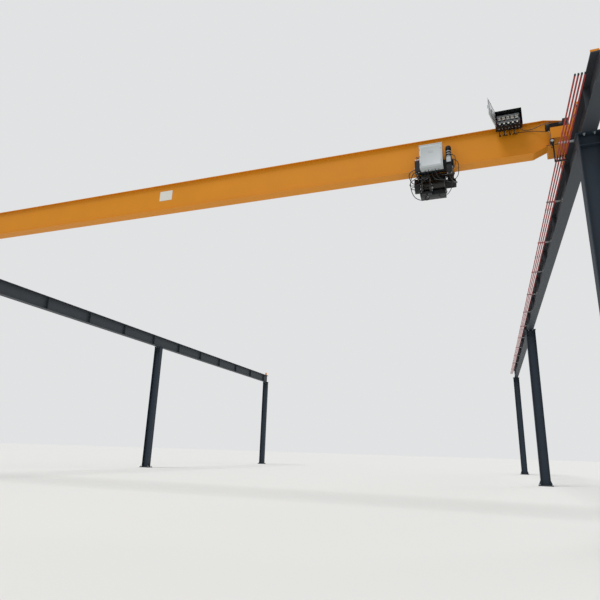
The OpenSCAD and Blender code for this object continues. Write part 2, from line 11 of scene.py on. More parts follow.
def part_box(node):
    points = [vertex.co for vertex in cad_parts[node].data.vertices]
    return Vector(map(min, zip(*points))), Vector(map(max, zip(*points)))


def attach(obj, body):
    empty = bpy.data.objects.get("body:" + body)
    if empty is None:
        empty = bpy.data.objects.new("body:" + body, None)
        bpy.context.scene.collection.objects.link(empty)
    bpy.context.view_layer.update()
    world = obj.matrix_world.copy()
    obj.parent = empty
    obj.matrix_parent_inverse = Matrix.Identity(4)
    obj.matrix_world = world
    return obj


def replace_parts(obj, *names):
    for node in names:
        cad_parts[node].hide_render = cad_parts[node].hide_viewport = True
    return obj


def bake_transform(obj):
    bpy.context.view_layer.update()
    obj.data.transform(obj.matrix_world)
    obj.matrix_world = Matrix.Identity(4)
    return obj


bl_info = {
    "name": "Overhead bridge crane",
    "version": (1, 0, 0),
    "blender": (4, 5, 0),
    "location": "View3D > Sidebar > Crane",
    "description": "Finishes and fine detail of a bridge crane and its runway",
    "category": "Object",
}

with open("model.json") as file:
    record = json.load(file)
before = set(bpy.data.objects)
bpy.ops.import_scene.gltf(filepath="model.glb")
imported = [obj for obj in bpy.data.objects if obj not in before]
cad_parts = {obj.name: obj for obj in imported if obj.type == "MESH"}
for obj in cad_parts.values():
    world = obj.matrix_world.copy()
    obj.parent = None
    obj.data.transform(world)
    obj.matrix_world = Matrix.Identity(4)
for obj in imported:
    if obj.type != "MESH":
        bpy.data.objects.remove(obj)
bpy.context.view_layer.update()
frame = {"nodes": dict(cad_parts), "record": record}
MM = 0.001
# Middle of the girder, a bridge drive, the rope drum, the travel gear, the control box, the plugs and the cabinet
HOIST_Y = -16.4
DRIVE_Y, DRIVE_Z = -16.71, 9.28
DRUM_Y, DRUM_Z = -16.14, 8.42
TRAVEL_X, TRAVEL_Y = 9.03, -16.706
BOX_X = 8.585
PLUGS_X, PLUGS_Y = 8.215, -16.681
CABINET_X, CABINET_Y = 10.56, -16.715
# Finishes by name, made by the first operator
FINISHES = {}


def linear(code):
    """Linear colour of an sRGB hex code."""
    parts = [int(code[i:i + 2], 16) / 255 for i in (1, 3, 5)]
    return tuple(c / 12.92 if c <= 0.04045 else ((c + 0.055) / 1.055) ** 2.4 for c in parts)


def colour_setting(name, about, code):
    """A colour setting with the sRGB hex code that it starts from."""
    return FloatVectorProperty(name=name, description=about, subtype="COLOR", size=3, min=0, max=1,
                               default=linear(code))


def length_setting(name, about, value):
    """A length setting, or several lengths of one kind in one setting."""
    if isinstance(value, tuple):
        return FloatVectorProperty(name=name, description=about, unit="LENGTH", size=len(value), default=value)
    return FloatProperty(name=name, description=about, unit="LENGTH", default=value)


def angle_setting(name, about, degrees):
    """An angle setting."""
    return FloatProperty(name=name, description=about, subtype="ANGLE", default=math.radians(degrees))


class CranePaint(bpy.types.PropertyGroup):
    """Colours that a user would change."""

    girder: colour_setting("Girder enamel", "Amber enamel of the girder and the end trucks", "#D4860A")
    columns: colour_setting("Column paint", "Blue-grey paint of the columns", "#27323D")
    runway: colour_setting("Runway paint", "Charcoal paint of the runway beams", "#3B4046")
    machine: colour_setting("Machine black", "Powder coat of the hoist's plates, gearboxes and motors", "#16181B")
    enclosure: colour_setting("Enclosure grey", "Light grey powder coat of the control box and cabinet door",
                              "#C2C8CA")
    conductor: colour_setting("Conductor cover", "Red insulating cover of the conductor bars", "#A8322A")


class CraneCamera(bpy.types.PropertyGroup):
    """Where the camera stands and how it looks."""

    place: FloatVectorProperty(name="Place", description="Place of the camera", subtype="XYZ", unit="LENGTH",
                               size=3, default=(9.57, -29.12, 1.33))
    lens: FloatProperty(name="Lens", description="Focal length in millimetres on a 36 mm wide picture",
                        default=30.61, min=10, max=200)
    pitch: angle_setting("Pitch", "How far the camera looks up", 16.48)
    yaw: angle_setting("Yaw", "How far the camera looks to the left of the runway's direction", 20.35)
    roll: angle_setting("Roll", "How far the camera leans", 1.76)


class CraneRunway(bpy.types.PropertyGroup):
    """Places on the runway that the fittings follow."""

    rails: length_setting("Rails", "Where the two rails lie across the hall", (-12.0, 12.0))
    columns: length_setting("Columns", "Where the columns stand along the runway", (-18.05, 0.75, 19.55))
    plate_top: length_setting("Base plate top", "Height of the base plates' upper face", 0.04)
    beam_top: length_setting("Beam top", "Height of the runway beams' upper face", 8.75)
    beam_low: length_setting("Beam underside", "Height of the runway beams' lower face", 8.07)
    clip_pitch: length_setting("Clip pitch", "Distance between the clips of a rail", 0.6)


class CraneHoist(bpy.types.PropertyGroup):
    """Places in the hoist that the ropes follow."""

    rope: length_setting("Rope", "Diameter of the hoist rope", 0.011)
    lay: length_setting("Lay", "Length in which a strand goes round once", 0.075)
    falls: length_setting("Falls", "Where the falls hang along the girder", (8.297, 8.505))
    far_y: length_setting("Far falls", "Where the far falls hang", -16.29165)
    near_y: length_setting("Near falls", "Where the near falls hang", -16.49965)
    anchor_y: length_setting("Anchor", "Where the rope end is held", -16.31765)
    block_z: length_setting("Hook sheaves", "Height of the hook sheaves' middle", 8.23)
    drum_z: length_setting("Drum", "Height at which the rope leaves the drum", 8.42)
    return_z: length_setting("Return sheave", "Height of its middle", 8.56)
    anchor_z: length_setting("Rope end", "Height of the anchor's underside", 8.569)


def add_node(tree, kind, inputs=None, **settings):
    """Adds one node with its settings and its input values or links."""
    made = tree.nodes.new(kind)
    for name, value in settings.items():
        setattr(made, name, value)
    for name, value in (inputs or {}).items():
        if isinstance(value, bpy.types.NodeSocket):
            tree.links.new(value, made.inputs[name])
        else:
            made.inputs[name].default_value = value
    return made


def new_material(name):
    """An empty material with its shader and output, and its node tree."""
    made = bpy.data.materials.new(name)
    made.use_nodes = True
    tree = made.node_tree
    tree.nodes.clear()
    shader = add_node(tree, "ShaderNodeBsdfPrincipled")
    add_node(tree, "ShaderNodeOutputMaterial", {"Surface": shader.outputs["BSDF"]})
    return made, tree, shader


def rgba(shade, gain=1.0):
    """A colour with alpha, made lighter or darker by a gain."""
    return tuple(min(1.0, c * gain) for c in shade[:3]) + (1.0,)


def noise(tree, size_mm, detail, **more):
    """Noise with patches of a size in real millimetres."""
    place = add_node(tree, "ShaderNodeTexCoord").outputs["Object"]
    inputs = {"Vector": place, "Scale": 1 / (size_mm * MM), "Detail": detail, **more}
    return add_node(tree, "ShaderNodeTexNoise", inputs).outputs["Fac"]


def mixed(tree, share, first, second):
    """A colour between two others."""
    made = add_node(tree, "ShaderNodeMix", {"Factor": share, "A": first, "B": second}, data_type="RGBA")
    return made.outputs["Result"]


def remapped(tree, value, low, high, **more):
    """A value that runs from 0 to 1, or over a range given by name, taken to another range."""
    made = add_node(tree, "ShaderNodeMapRange", {"Value": value, "To Min": low, "To Max": high, **more})
    return made.outputs["Result"]


def coated_metal(name, paint, roughness, tone, patch_mm, grain_mm, grain_depth_mm, dust, coat):
    """Painted or powder-coated steel: slow changes of tone, a fine grain and dust on what faces up."""
    made, tree, shader = new_material(name)
    patches = noise(tree, patch_mm, 4.0, Roughness=0.6)
    base = mixed(tree, patches, rgba(paint, 1 - tone), rgba(paint, 1 + tone))
    normal = add_node(tree, "ShaderNodeNewGeometry").outputs["Normal"]
    upward = add_node(tree, "ShaderNodeSeparateXYZ", {"Vector": normal}).outputs["Z"]
    settled = remapped(tree, upward, 0.0, dust, **{"From Min": 0.55, "From Max": 1.0})
    blotch = add_node(tree, "ShaderNodeMath", {0: settled, 1: patches}, operation="MULTIPLY").outputs["Value"]
    tree.links.new(mixed(tree, blotch, base, rgba(linear("#A39B8C"))), shader.inputs["Base Color"])
    tree.links.new(remapped(tree, patches, roughness - 0.06, roughness + 0.1), shader.inputs["Roughness"])
    bump = add_node(tree, "ShaderNodeBump", {"Height": noise(tree, grain_mm, 2.0), "Strength": 0.5,
                                             "Distance": grain_depth_mm * MM})
    tree.links.new(bump.outputs["Normal"], shader.inputs["Normal"])
    shader.inputs["Specular IOR Level"].default_value = 0.3
    shader.inputs["Coat Weight"].default_value = coat
    shader.inputs["Coat Roughness"].default_value = 0.25
    return made


def bare_steel(name, metal, roughness, tone, patch_mm, line_mm):
    """Bare steel with drawn or turned lines and slow stains."""
    made, tree, shader = new_material(name)
    stained = mixed(tree, noise(tree, patch_mm, 5.0), rgba(metal, 1 - tone), rgba(metal, 1 + tone))
    gloss = remapped(tree, noise(tree, line_mm, 1.0), roughness - 0.1, roughness + 0.1)
    tree.links.new(stained, shader.inputs["Base Color"])
    tree.links.new(gloss, shader.inputs["Roughness"])
    shader.inputs["Metallic"].default_value = 0.85
    return made


def polymer(name, tint, roughness, patch_mm, tone):
    """Moulded plastic or rubber with a slight change of tone."""
    made, tree, shader = new_material(name)
    toned = mixed(tree, noise(tree, patch_mm, 3.0), rgba(tint, 1 - tone), rgba(tint, 1 + tone))
    tree.links.new(toned, shader.inputs["Base Color"])
    shader.inputs["Roughness"].default_value = roughness
    return made


def pick(shape):
    """Leaves one object selected and active."""
    bpy.ops.object.select_all(action="DESELECT")
    shape.select_set(True)
    bpy.context.view_layer.objects.active = shape
    return shape


def settle(shape):
    """Puts an object's place, turn and size into its mesh."""
    pick(shape)
    bpy.ops.object.transform_apply(location=True, rotation=True, scale=True)
    return shape


def new_box(low, high):
    """A plain box between two corners, as a start."""
    bpy.ops.object.select_all(action="DESELECT")
    bpy.ops.mesh.primitive_cube_add(size=1, location=[(a + b) / 2 for a, b in zip(low, high)])
    shape = bpy.context.object
    shape.scale = [b - a for a, b in zip(low, high)]
    return settle(shape)


def box_at(centre, size):
    """A plain box round its centre, as a start."""
    return new_box([c - s / 2 for c, s in zip(centre, size)], [c + s / 2 for c, s in zip(centre, size)])


def new_round(centre, radius, depth, along="Z", sides=24):
    """A plain round bar round its centre, as a start."""
    turn = {"X": (0, math.pi / 2, 0), "Y": (math.pi / 2, 0, 0), "Z": (0, 0, 0)}[along]
    bpy.ops.object.select_all(action="DESELECT")
    bpy.ops.mesh.primitive_cylinder_add(vertices=sides, radius=radius, depth=depth, location=centre, rotation=turn)
    return settle(bpy.context.object)


def circle(centre, radius, count, first=0.5, along="X"):
    """Places spread evenly round an axis, the first one a share of a step on."""
    x, y, z = centre
    angles = [2 * math.pi * (k + first) / count for k in range(count)]
    spots = [(radius * math.cos(a), radius * math.sin(a)) for a in angles]
    return [(x, y + a, z + b) if along == "X" else (x + a, y, z + b) for a, b in spots]


def edit_faces(shape, chosen, *steps):
    """Selects the faces that a test picks, then runs edit-mode steps on them."""
    pick(shape)
    bpy.ops.object.mode_set(mode="EDIT")
    bpy.ops.mesh.select_mode(type="FACE")
    bpy.ops.mesh.select_all(action="DESELECT")
    bpy.ops.object.mode_set(mode="OBJECT")
    for face in shape.data.polygons:
        face.select = chosen(face)
    bpy.ops.object.mode_set(mode="EDIT")
    for step in steps:
        step()
    bpy.ops.object.mode_set(mode="OBJECT")
    return shape


def facing(x=0, y=0, z=0):
    """A test for faces that look along a direction."""
    way = Vector((x, y, z)).normalized()
    return lambda face: face.normal.dot(way) > 0.9


def whole(face):
    """A test that every face passes."""
    return True


def turn_out():
    """An edit step that makes all faces look outwards."""
    bpy.ops.mesh.select_all(action="SELECT")
    bpy.ops.mesh.normals_make_consistent(inside=False)


def inset(width, rise=0.0):
    """An edit step that insets the faces and lifts or sinks the middle."""
    def step():
        bpy.ops.mesh.inset(thickness=width, depth=0)
        if rise:
            bpy.ops.mesh.extrude_region_shrink_fatten(TRANSFORM_OT_shrink_fatten={"value": rise})
    return step


def soften(shape, width, segments=2):
    """Rounds the sharp edges of a shape."""
    pick(shape)
    edges = shape.modifiers.new("edges", "BEVEL")
    edges.width = width
    edges.segments = segments
    edges.limit_method = "ANGLE"
    edges.angle_limit = math.radians(40)
    bpy.ops.object.modifier_apply(modifier=edges.name)
    return shape


def join(shapes):
    """Makes one object of several."""
    pick(shapes[0])
    for shape in shapes:
        shape.select_set(True)
    bpy.ops.object.join()
    return bpy.context.object


def upright(way):
    """The turn that takes +Z to a direction."""
    return Vector((0, 0, 1)).rotation_difference(Vector(way)).to_matrix().to_4x4()


def copies(model, places, way=(0, 0, 1)):
    """One object with a copy of a model, each with its own mesh, at every place; the model goes."""
    made = []
    for place in places:
        twin = model.copy()
        twin.data = model.data.copy()
        bpy.context.collection.objects.link(twin)
        twin.matrix_world = Matrix.Translation(place) @ upright(way)
        made.append(twin)
    bpy.data.objects.remove(model)
    return settle(join(made))


def finished(shape, name, body, slot, finish=None):
    """Names a piece, gives it its finish and hangs it on its body, if it has only one."""
    settle(shape)
    shape.name = name
    shape.data.name = name
    shape.data.materials.clear()
    shape.data.materials.append(FINISHES[finish or slot])
    pick(shape)
    bpy.ops.object.shade_smooth_by_angle(angle=math.radians(35))
    if body:
        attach(shape, body)
    return shape


def bolt(across, washer=1.0):
    """Hexagon head on a washer, standing on the origin."""
    head = new_round((0, 0, across * 0.46), across / 2 / math.cos(math.pi / 6), across * 0.68, sides=6)
    edit_faces(head, facing(z=1), inset(across * 0.06, across * 0.04))
    ring = new_round((0, 0, across * 0.06), across * washer, across * 0.12, sides=16)
    edit_faces(ring, facing(z=1), inset(across * 0.04, across * 0.01))
    return join([head, ring])


def stud_nut(across, rise):
    """Nut on a washer with the end of the stud above it, standing on the origin."""
    end = new_round((0, 0, rise / 2), across * 0.32, rise, sides=12)
    edit_faces(end, facing(z=1), inset(across * 0.05, across * 0.04))
    return join([bolt(across, 0.95), end])


def tube(points, radius, sides=8, shares=()):
    """A bent round bar through a list of points, smoothed between them; shares make it thinner or thicker."""
    curve = bpy.data.curves.new("bent", "CURVE")
    curve.dimensions = "3D"
    curve.bevel_depth = radius
    curve.bevel_resolution = max(0, sides // 4 - 1)
    curve.resolution_u = 6
    curve.use_fill_caps = True
    spline = curve.splines.new("NURBS")
    spline.points.add(len(points) - 1)
    for knot, place in zip(spline.points, points):
        knot.co = (*place, 1)
    for knot, share in zip(spline.points, shares):
        knot.radius = share
    spline.use_endpoint_u = True
    spline.order_u = 3
    shape = bpy.data.objects.new("bent", curve)
    bpy.context.collection.objects.link(shape)
    pick(shape)
    bpy.ops.object.convert(target="MESH")
    return bpy.context.object


class CRANE_OT_finishes(bpy.types.Operator):
    """Gives every node of the frame the finish that its material slot names"""

    bl_idname = "crane.finishes"
    bl_label = "Finishes"

    def execute(self, context):
        paint = context.scene.crane_paint
        FINISHES.update({
            "crane_paint": coated_metal(
                "Amber enamel on steel plate", paint.girder, 0.5, 0.07, 900, 9, 0.25, 0.4, 0.0),
            "column_paint": coated_metal(
                "Blue-grey paint on rolled steel", paint.columns, 0.55, 0.16, 700, 7, 0.3, 0.7, 0.0),
            "runway_paint": coated_metal(
                "Charcoal paint on rolled steel", paint.runway, 0.55, 0.16, 800, 7, 0.3, 0.8, 0.0),
            "machine_black": coated_metal("Black powder coat", paint.machine, 0.42, 0.2, 180, 4, 0.25, 0.25, 0.1),
            "enclosure_grey": coated_metal(
                "Light grey textured powder coat", paint.enclosure, 0.5, 0.04, 250, 3, 0.2, 0.2, 0.05),
            "rail_steel": bare_steel("Rolled rail steel", linear("#6F6963"), 0.5, 0.25, 400, 12),
            "machined_steel": bare_steel("Oiled turned steel", linear("#5A5957"), 0.38, 0.25, 120, 4),
            "rope_steel": bare_steel("Wire rope", linear("#8A8984"), 0.45, 0.3, 40, 6),
            # The drum's rope is the falls' rope made darker: partly grease, partly painted shade on the turns round
            # the drum
            "rope_greased_and_shaded": bare_steel("Greased wire rope with painted shade", linear("#3C3B38"), 0.4, 0.35, 30, 5),
            "hook_steel": coated_metal(
                "Black paint on a forged hook", linear("#26272A"), 0.45, 0.3, 60, 5, 0.4, 0.1, 0.0),
            "galvanised_steel": bare_steel("Zinc-plated steel", linear("#B4B9BC"), 0.45, 0.18, 90, 8),
            "conductor_cover": polymer("Red insulating cover", paint.conductor, 0.5, 600, 0.12),
            "buffer_rubber": polymer("Moulded black rubber", linear("#1A1A1A"), 0.7, 60, 0.2),
            "moulded_white": polymer("Moulded off-white polyamide", linear("#D9D8D0"), 0.45, 40, 0.05),
            "moulded_grey": polymer("Extruded grey PVC", linear("#8D9294"), 0.5, 80, 0.06),
        })
        for tint, about, code in (("black", "Black", "#17181A"), ("red", "Red", "#A32420"),
                                  ("blue", "Dark blue", "#1E3A66")):
            FINISHES[f"wire_{tint}"] = polymer(f"{about} PVC wire cover", linear(code), 0.4, 30, 0.1)
        slots = {row["node"]: row["material_slot"] for row in frame["record"]["subparts"]}
        for name, shape in frame["nodes"].items():
            shape.data.materials.clear()
            shape.data.materials.append(FINISHES[slots[name]])
        # The photo shows the hook block black, not in the girder's paint
        frame["nodes"]["hook_block"].data.materials[0] = FINISHES["machine_black"]
        return {"FINISHED"}


class CRANE_OT_rope_falls(bpy.types.Operator):
    """Stranded falls of the hoist rope, which hang between the hook block and the trolley"""

    bl_idname = "crane.rope_falls"
    bl_label = "Rope falls"

    def execute(self, context):
        size = context.scene.crane_hoist
        falls = (("rope_fall_drum", size.falls[0], size.far_y, size.far_y, size.drum_z),
                 ("rope_fall_anchor", size.falls[1], size.far_y, size.anchor_y, size.anchor_z),
                 ("rope_fall_return_left", size.falls[0], size.near_y, size.near_y, size.return_z),
                 ("rope_fall_return_right", size.falls[1], size.near_y, size.near_y, size.return_z))
        made, margin = [], 0.01
        for name, x, low_y, high_y, high_z in falls:
            low = Vector((x, low_y, size.block_z))
            high = Vector((x, high_y, high_z))
            fall = finished(self.strand(low, high, size.rope / 2, size.lay), name, None, "rope_steel")
            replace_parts(fall, "hoist_ropes")
            made.append((fall, low, high))
        for fall, low, high in made:
            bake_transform(fall)
        return {"FINISHED"}

    def strand(self, low, high, radius, lay):
        """A six-stranded rope between two points, made by turning its outline as it rises."""
        reach = (high - low).length
        bpy.ops.object.select_all(action="DESELECT")
        bpy.ops.mesh.primitive_circle_add(vertices=12, radius=radius, fill_type="NOTHING")
        outline = bpy.context.object
        for point in outline.data.vertices:
            point.co *= 1.0 if point.index % 2 else 0.84
        rise = outline.modifiers.new("lay", "SCREW")
        rise.axis = "Z"
        rise.screw_offset = reach
        rise.angle = 2 * math.pi * reach / lay
        rise.steps = rise.render_steps = max(24, int(12 * reach / lay))
        rise.use_normal_calculate = True
        bpy.ops.object.modifier_apply(modifier=rise.name)
        edit_faces(outline, whole, lambda: bpy.ops.mesh.fill_holes(sides=12), turn_out)
        outline.matrix_world = Matrix.Translation(low) @ upright((high - low).normalized())
        return settle(outline)


class CRANE_OT_rope_turns(bpy.types.Operator):
    """Half turns of the rope in the grooves of the hook sheaves and the return sheave"""

    bl_idname = "crane.rope_turns"
    bl_label = "Rope round the sheaves"

    def execute(self, context):
        size = context.scene.crane_hoist
        reach = (size.falls[1] - size.falls[0]) / 2
        middle = (size.far_y + size.near_y) / 2
        radius = size.rope / 2
        under = [self.half_turn((x, middle, size.block_z), (0, reach, 0), (1, 0, 0), radius) for x in size.falls]
        finished(join(under), "rope_under_hook_sheaves", "block", "rope_steel")
        over = self.half_turn((sum(size.falls) / 2, size.near_y, size.return_z), (reach, 0, 0), (0, 1, 0), radius)
        finished(over, "rope_over_return_sheave", "trolley", "rope_steel")
        return {"FINISHED"}

    def half_turn(self, centre, arm, axis, radius):
        """Half a ring of rope round an axis, from the end of an arm on."""
        centre = Vector(centre)
        bpy.ops.object.select_all(action="DESELECT")
        bpy.ops.mesh.primitive_circle_add(vertices=12, radius=radius, fill_type="NGON", location=centre + Vector(arm))
        return edit_faces(settle(bpy.context.object), whole,
                          lambda: bpy.ops.mesh.spin(steps=24, angle=-math.pi, center=centre, axis=axis),
                          lambda: bpy.ops.mesh.select_all(action="SELECT"),
                          lambda: bpy.ops.mesh.remove_doubles(threshold=1e-5), turn_out)


class CRANE_OT_drum_rope(bpy.types.Operator):
    """Stranded turns of the rope in the grooves of the drum"""

    bl_idname = "crane.drum_rope"
    bl_label = "Rope on the drum"
    groove_r, pitch, turns = 0.15165, 0.016, 35
    # Degrees by which the first turn is short of a whole one, where the fall leaves the drum
    lift_off = 22.95

    def execute(self, context):
        size = context.scene.crane_hoist
        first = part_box("drum_rope")[0][0] + size.rope / 2
        places = [(first + i * self.pitch, DRUM_Y, size.drum_z) for i in range(self.turns)]
        made = [copies(self.turn(size, 1 - self.lift_off / 360), places[:1]),
                copies(self.turn(size, 1), places[1:])]
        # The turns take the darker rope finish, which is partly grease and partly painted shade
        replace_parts(finished(join(made), "rope_on_drum", "trolley", "rope_steel", "rope_greased_and_shaded"), "drum_rope")
        return {"FINISHED"}

    def turn(self, size, share):
        """One turn round the X axis from the drum's near side over its top, as a six-lobed outline that twists."""
        outline = bpy.data.curves.new("outline", "CURVE")
        lobes = outline.splines.new("POLY")
        lobes.points.add(11)
        lobes.use_cyclic_u = True
        for i, point in enumerate(lobes.points):
            reach = (size.rope / 2 - 0.0002) * (1.0 if i % 2 else 0.84)
            point.co = (reach * math.cos(i * math.pi / 6), reach * math.sin(i * math.pi / 6), 0, 1)
        shape = bpy.data.objects.new("outline", outline)
        path = bpy.data.curves.new("turn", "CURVE")
        path.dimensions = "3D"
        path.bevel_mode = "OBJECT"
        path.bevel_object = shape
        path.use_fill_caps = True
        steps = int(104 * share)
        lays = round(2 * math.pi * self.groove_r / size.lay)
        spline = path.splines.new("POLY")
        spline.points.add(steps - 1)
        spline.use_cyclic_u = share == 1
        for i, point in enumerate(spline.points):
            angle = 2 * math.pi * share * i / (steps if share == 1 else steps - 1)
            point.co = (0, -self.groove_r * math.cos(angle), self.groove_r * math.sin(angle), 1)
            point.tilt = lays * angle
        ring = bpy.data.objects.new("turn", path)
        bpy.context.collection.objects.link(ring)
        pick(ring)
        bpy.ops.object.convert(target="MESH")
        bpy.data.objects.remove(shape)
        return bpy.context.object


class CRANE_OT_runway_bolts(bpy.types.Operator):
    """Anchor nuts on the base plates, and the bolts between the columns' cap plates and the beams"""

    bl_idname = "crane.runway_bolts"
    bl_label = "Runway bolts"

    def execute(self, context):
        size = context.scene.crane_runway
        flange, cap = 0.022, 0.025
        feet = [(x, y, size.plate_top) for x, y in self.corners(size, 0.29, 0.17)]
        finished(copies(stud_nut(0.05, 0.075), feet), "anchor_nuts", "runway", "galvanised_steel")
        caps = self.corners(size, 0.1, 0.13)
        above = copies(bolt(0.036), [(x, y, size.beam_low + flange) for x, y in caps])
        below = copies(stud_nut(0.036, 0.045), [(x, y, size.beam_low - cap) for x, y in caps], (0, 0, -1))
        finished(join([above, below]), "cap_plate_bolts", "runway", "galvanised_steel")
        return {"FINISHED"}

    def corners(self, size, half_x, half_y):
        """The four corners round the middle of every column."""
        return [(x + dx, y + dy) for x in size.rails for y in size.columns
                for dx in (-half_x, half_x) for dy in (-half_y, half_y)]


class CRANE_OT_rail_clips(bpy.types.Operator):
    """Clips that hold the crane rails down on the beams"""

    bl_idname = "crane.rail_clips"
    bl_label = "Rail clips"

    def execute(self, context):
        size = context.scene.crane_runway
        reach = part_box("crane_rails")[1][1] - 0.3
        count = int(reach / size.clip_pitch)
        half_rail = 0.025
        for side, way in (("left", 1), ("right", -1)):
            clip = new_box((half_rail, -0.03, 0), (0.105, 0.03, 0.016))
            edit_faces(clip, facing(z=1), inset(0.006, 0.004))
            head = bolt(0.024, 0.8)
            head.matrix_world = Matrix.Translation((0.07, 0, 0.02))
            clip = join([clip, settle(head)])
            turned = clip.copy()
            turned.data = clip.data.copy()
            context.collection.objects.link(turned)
            turned.matrix_world = Matrix.Rotation(math.pi, 4, "Z")
            pair = settle(join([clip, turned]))
            x = size.rails[0] if way > 0 else size.rails[1]
            places = [(x, i * size.clip_pitch, size.beam_top) for i in range(-count, count + 1)]
            finished(copies(pair, places), f"{side}_rail_clips", "runway", "rail_steel")
        return {"FINISHED"}


class CRANE_OT_conductor_fittings(bpy.types.Operator):
    """Joint covers and end caps of the conductor bars"""

    bl_idname = "crane.conductor_fittings"
    bl_label = "Conductor fittings"

    def execute(self, context):
        low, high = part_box("conductor_bars")
        count, pitch, joint_pitch = 4, 0.06, 4.0
        xs = [high[0] - 0.013 - i * pitch for i in range(count)]
        middle = (low[2] + high[2]) / 2
        joints = int((high[1] - low[1]) / joint_pitch)
        covers = [(x, low[1] + joint_pitch * (i + 0.5), middle) for i in range(joints) for x in xs]
        cover = box_at((0, 0, 0.006), (0.034, 0.14, 0.03))
        edit_faces(cover, facing(z=1), inset(0.004, 0.003))
        finished(copies(soften(cover, 0.002, 1), covers), "conductor_joint_covers", "runway", "conductor_cover")
        caps = [(x, y + way * 0.012, middle) for x in xs for y, way in ((low[1], -1), (high[1], 1))]
        cap = soften(box_at((0, 0, 0), (0.032, 0.034, 0.04)), 0.004)
        finished(copies(cap, caps), "conductor_end_caps", "runway", "buffer_rubber")
        return {"FINISHED"}


class CRANE_OT_bridge_bolts(bpy.types.Operator):
    """Bearing caps of the runway wheels, base plates of the buffers, and their bolts"""

    bl_idname = "crane.bridge_bolts"
    bl_label = "Bridge bolts"
    half_base, wheel_z = 1.15, 8.9103

    def execute(self, context):
        heads, caps = [], []
        for node in ("left_end_truck", "right_end_truck"):
            low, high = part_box(node)
            x_mid, y_mid, z_mid = ((a + b) / 2 for a, b in zip(low, high))
            for x, way in ((low[0], -1), (high[0], 1)):
                for y in (y_mid - self.half_base, y_mid + self.half_base):
                    cap = new_round((x + way * 0.009, y, self.wheel_z), 0.062, 0.018, "X", 40)
                    edit_faces(cap, facing(x=way), inset(0.028, -0.004), inset(0.004, 0.002))
                    caps.append(soften(cap, 0.002, 2))
                    ring = circle((x + way * 0.018, y, self.wheel_z), 0.049, 6)
                    heads.append(copies(bolt(0.013, 0.7), ring, (way, 0, 0)))
            for y, way in ((low[1], -1), (high[1], 1)):
                plate = box_at((x_mid, y + way * 0.006, z_mid), (0.176, 0.012, 0.176))
                edit_faces(plate, facing(y=way), inset(0.006, 0.001))
                caps.append(soften(plate, 0.002, 1))
                corners = [(x_mid + dx, y + way * 0.013, z_mid + dz)
                           for dx in (-0.068, 0.068) for dz in (-0.068, 0.068)]
                heads.append(copies(bolt(0.018), corners, (0, way, 0)))
        finished(join(caps), "bearing_caps", "bridge", "machine_black")
        finished(join(heads), "bridge_bolts", "bridge", "galvanised_steel")
        return {"FINISHED"}


class CRANE_OT_trolley_bolts(bpy.types.Operator):
    """Nuts of the tie bars, bolts of the gearbox and the drum frame, and the tray under the drum"""

    bl_idname = "crane.trolley_bolts"
    bl_label = "Trolley bolts"
    tie_z, tray_depth = 8.64, 0.13

    def execute(self, context):
        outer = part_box("hoist_gearbox")[0][0]
        cover = new_round((outer - 0.004, DRUM_Y, DRUM_Z), 0.088, 0.008, "X", 48)
        edit_faces(cover, facing(x=-1), inset(0.05, -0.003), inset(0.006, 0.002))
        soften(cover, 0.0015, 2)
        rim = circle((outer, DRUM_Y, DRUM_Z), 0.148, 10)
        ring = circle((outer - 0.008, DRUM_Y, DRUM_Z), 0.074, 6, first=0)
        made = [copies(bolt(0.018), rim, (-1, 0, 0)), cover, copies(bolt(0.014), ring, (-1, 0, 0))]
        frame_low, frame_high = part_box("drum_frame")
        for face, way in ((frame_high[0], 1), (frame_low[0], -1)):
            spots = [(face, HOIST_Y + y, z) for y, z in ((0.435, 8.29), (0.435, 8.77), (0.25, 8.78), (0.09, 8.55))]
            made.append(copies(bolt(0.02), spots, (way, 0, 0)))
        ties_low, ties_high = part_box("tie_bars")
        for face, way, rise in ((ties_low[1], -1, 0.03), (ties_high[1], 1, 0.04)):
            made.append(copies(stud_nut(0.046, rise), [(ties_high[0] - 0.025, face, self.tie_z)], (0, way, 0)))
        finished(join(made), "trolley_bolts", "trolley", "galvanised_steel")
        self.tray()
        return {"FINISHED"}

    def tray(self):
        """Sheet tray under the drum, between the inner faces of its two frames, and the small boxes at the hoist."""
        left, right, near, far, top = 8.207, 8.883, -16.24, -15.95, 8.236
        tray = new_box((left, near, top - self.tray_depth), (right, far, top))
        edit_faces(tray, facing(z=1), inset(0.003, 0.003 - self.tray_depth))
        rib = box_at((0, near - 0.003, top - self.tray_depth / 2), (0.02, 0.006, self.tray_depth - 0.02))
        ribs = copies(soften(rib, 0.002, 1), [(left + 0.06 + i * 0.0927, 0, 0) for i in range(7)])
        lugs = [soften(box_at((x, y, top + 0.02), (0.004, 0.03, 0.08)), 0.001, 1)
                for x in (left, right) for y in (far - 0.02, near + 0.02)]
        finished(join([soften(tray, 0.0015, 2), ribs] + lugs), "drum_tray", "trolley", "machine_black")
        tie = soften(box_at(((left + right) / 2, -16.12, 8.631), (right - left + 0.002, 0.03, 0.058)), 0.003, 2)
        edit_faces(tie, facing(y=-1), inset(0.01, -0.004))
        terminals = soften(box_at((TRAVEL_X, DRUM_Y, 8.585), (0.17, 0.14, 0.1)), 0.006, 3)
        edit_faces(terminals, facing(z=1), inset(0.01, 0.004))
        finished(join([tie, terminals]), "hoist_motor_terminals", "trolley", "machine_black")
        junction = soften(box_at((TRAVEL_X, HOIST_Y - 0.301, 8.559), (0.13, 0.16, 0.258)), 0.005, 3)
        edit_faces(junction, facing(y=-1), inset(0.008, 0.003), inset(0.008, -0.002))
        finished(junction, "travel_junction_box", "trolley", "machine_black")


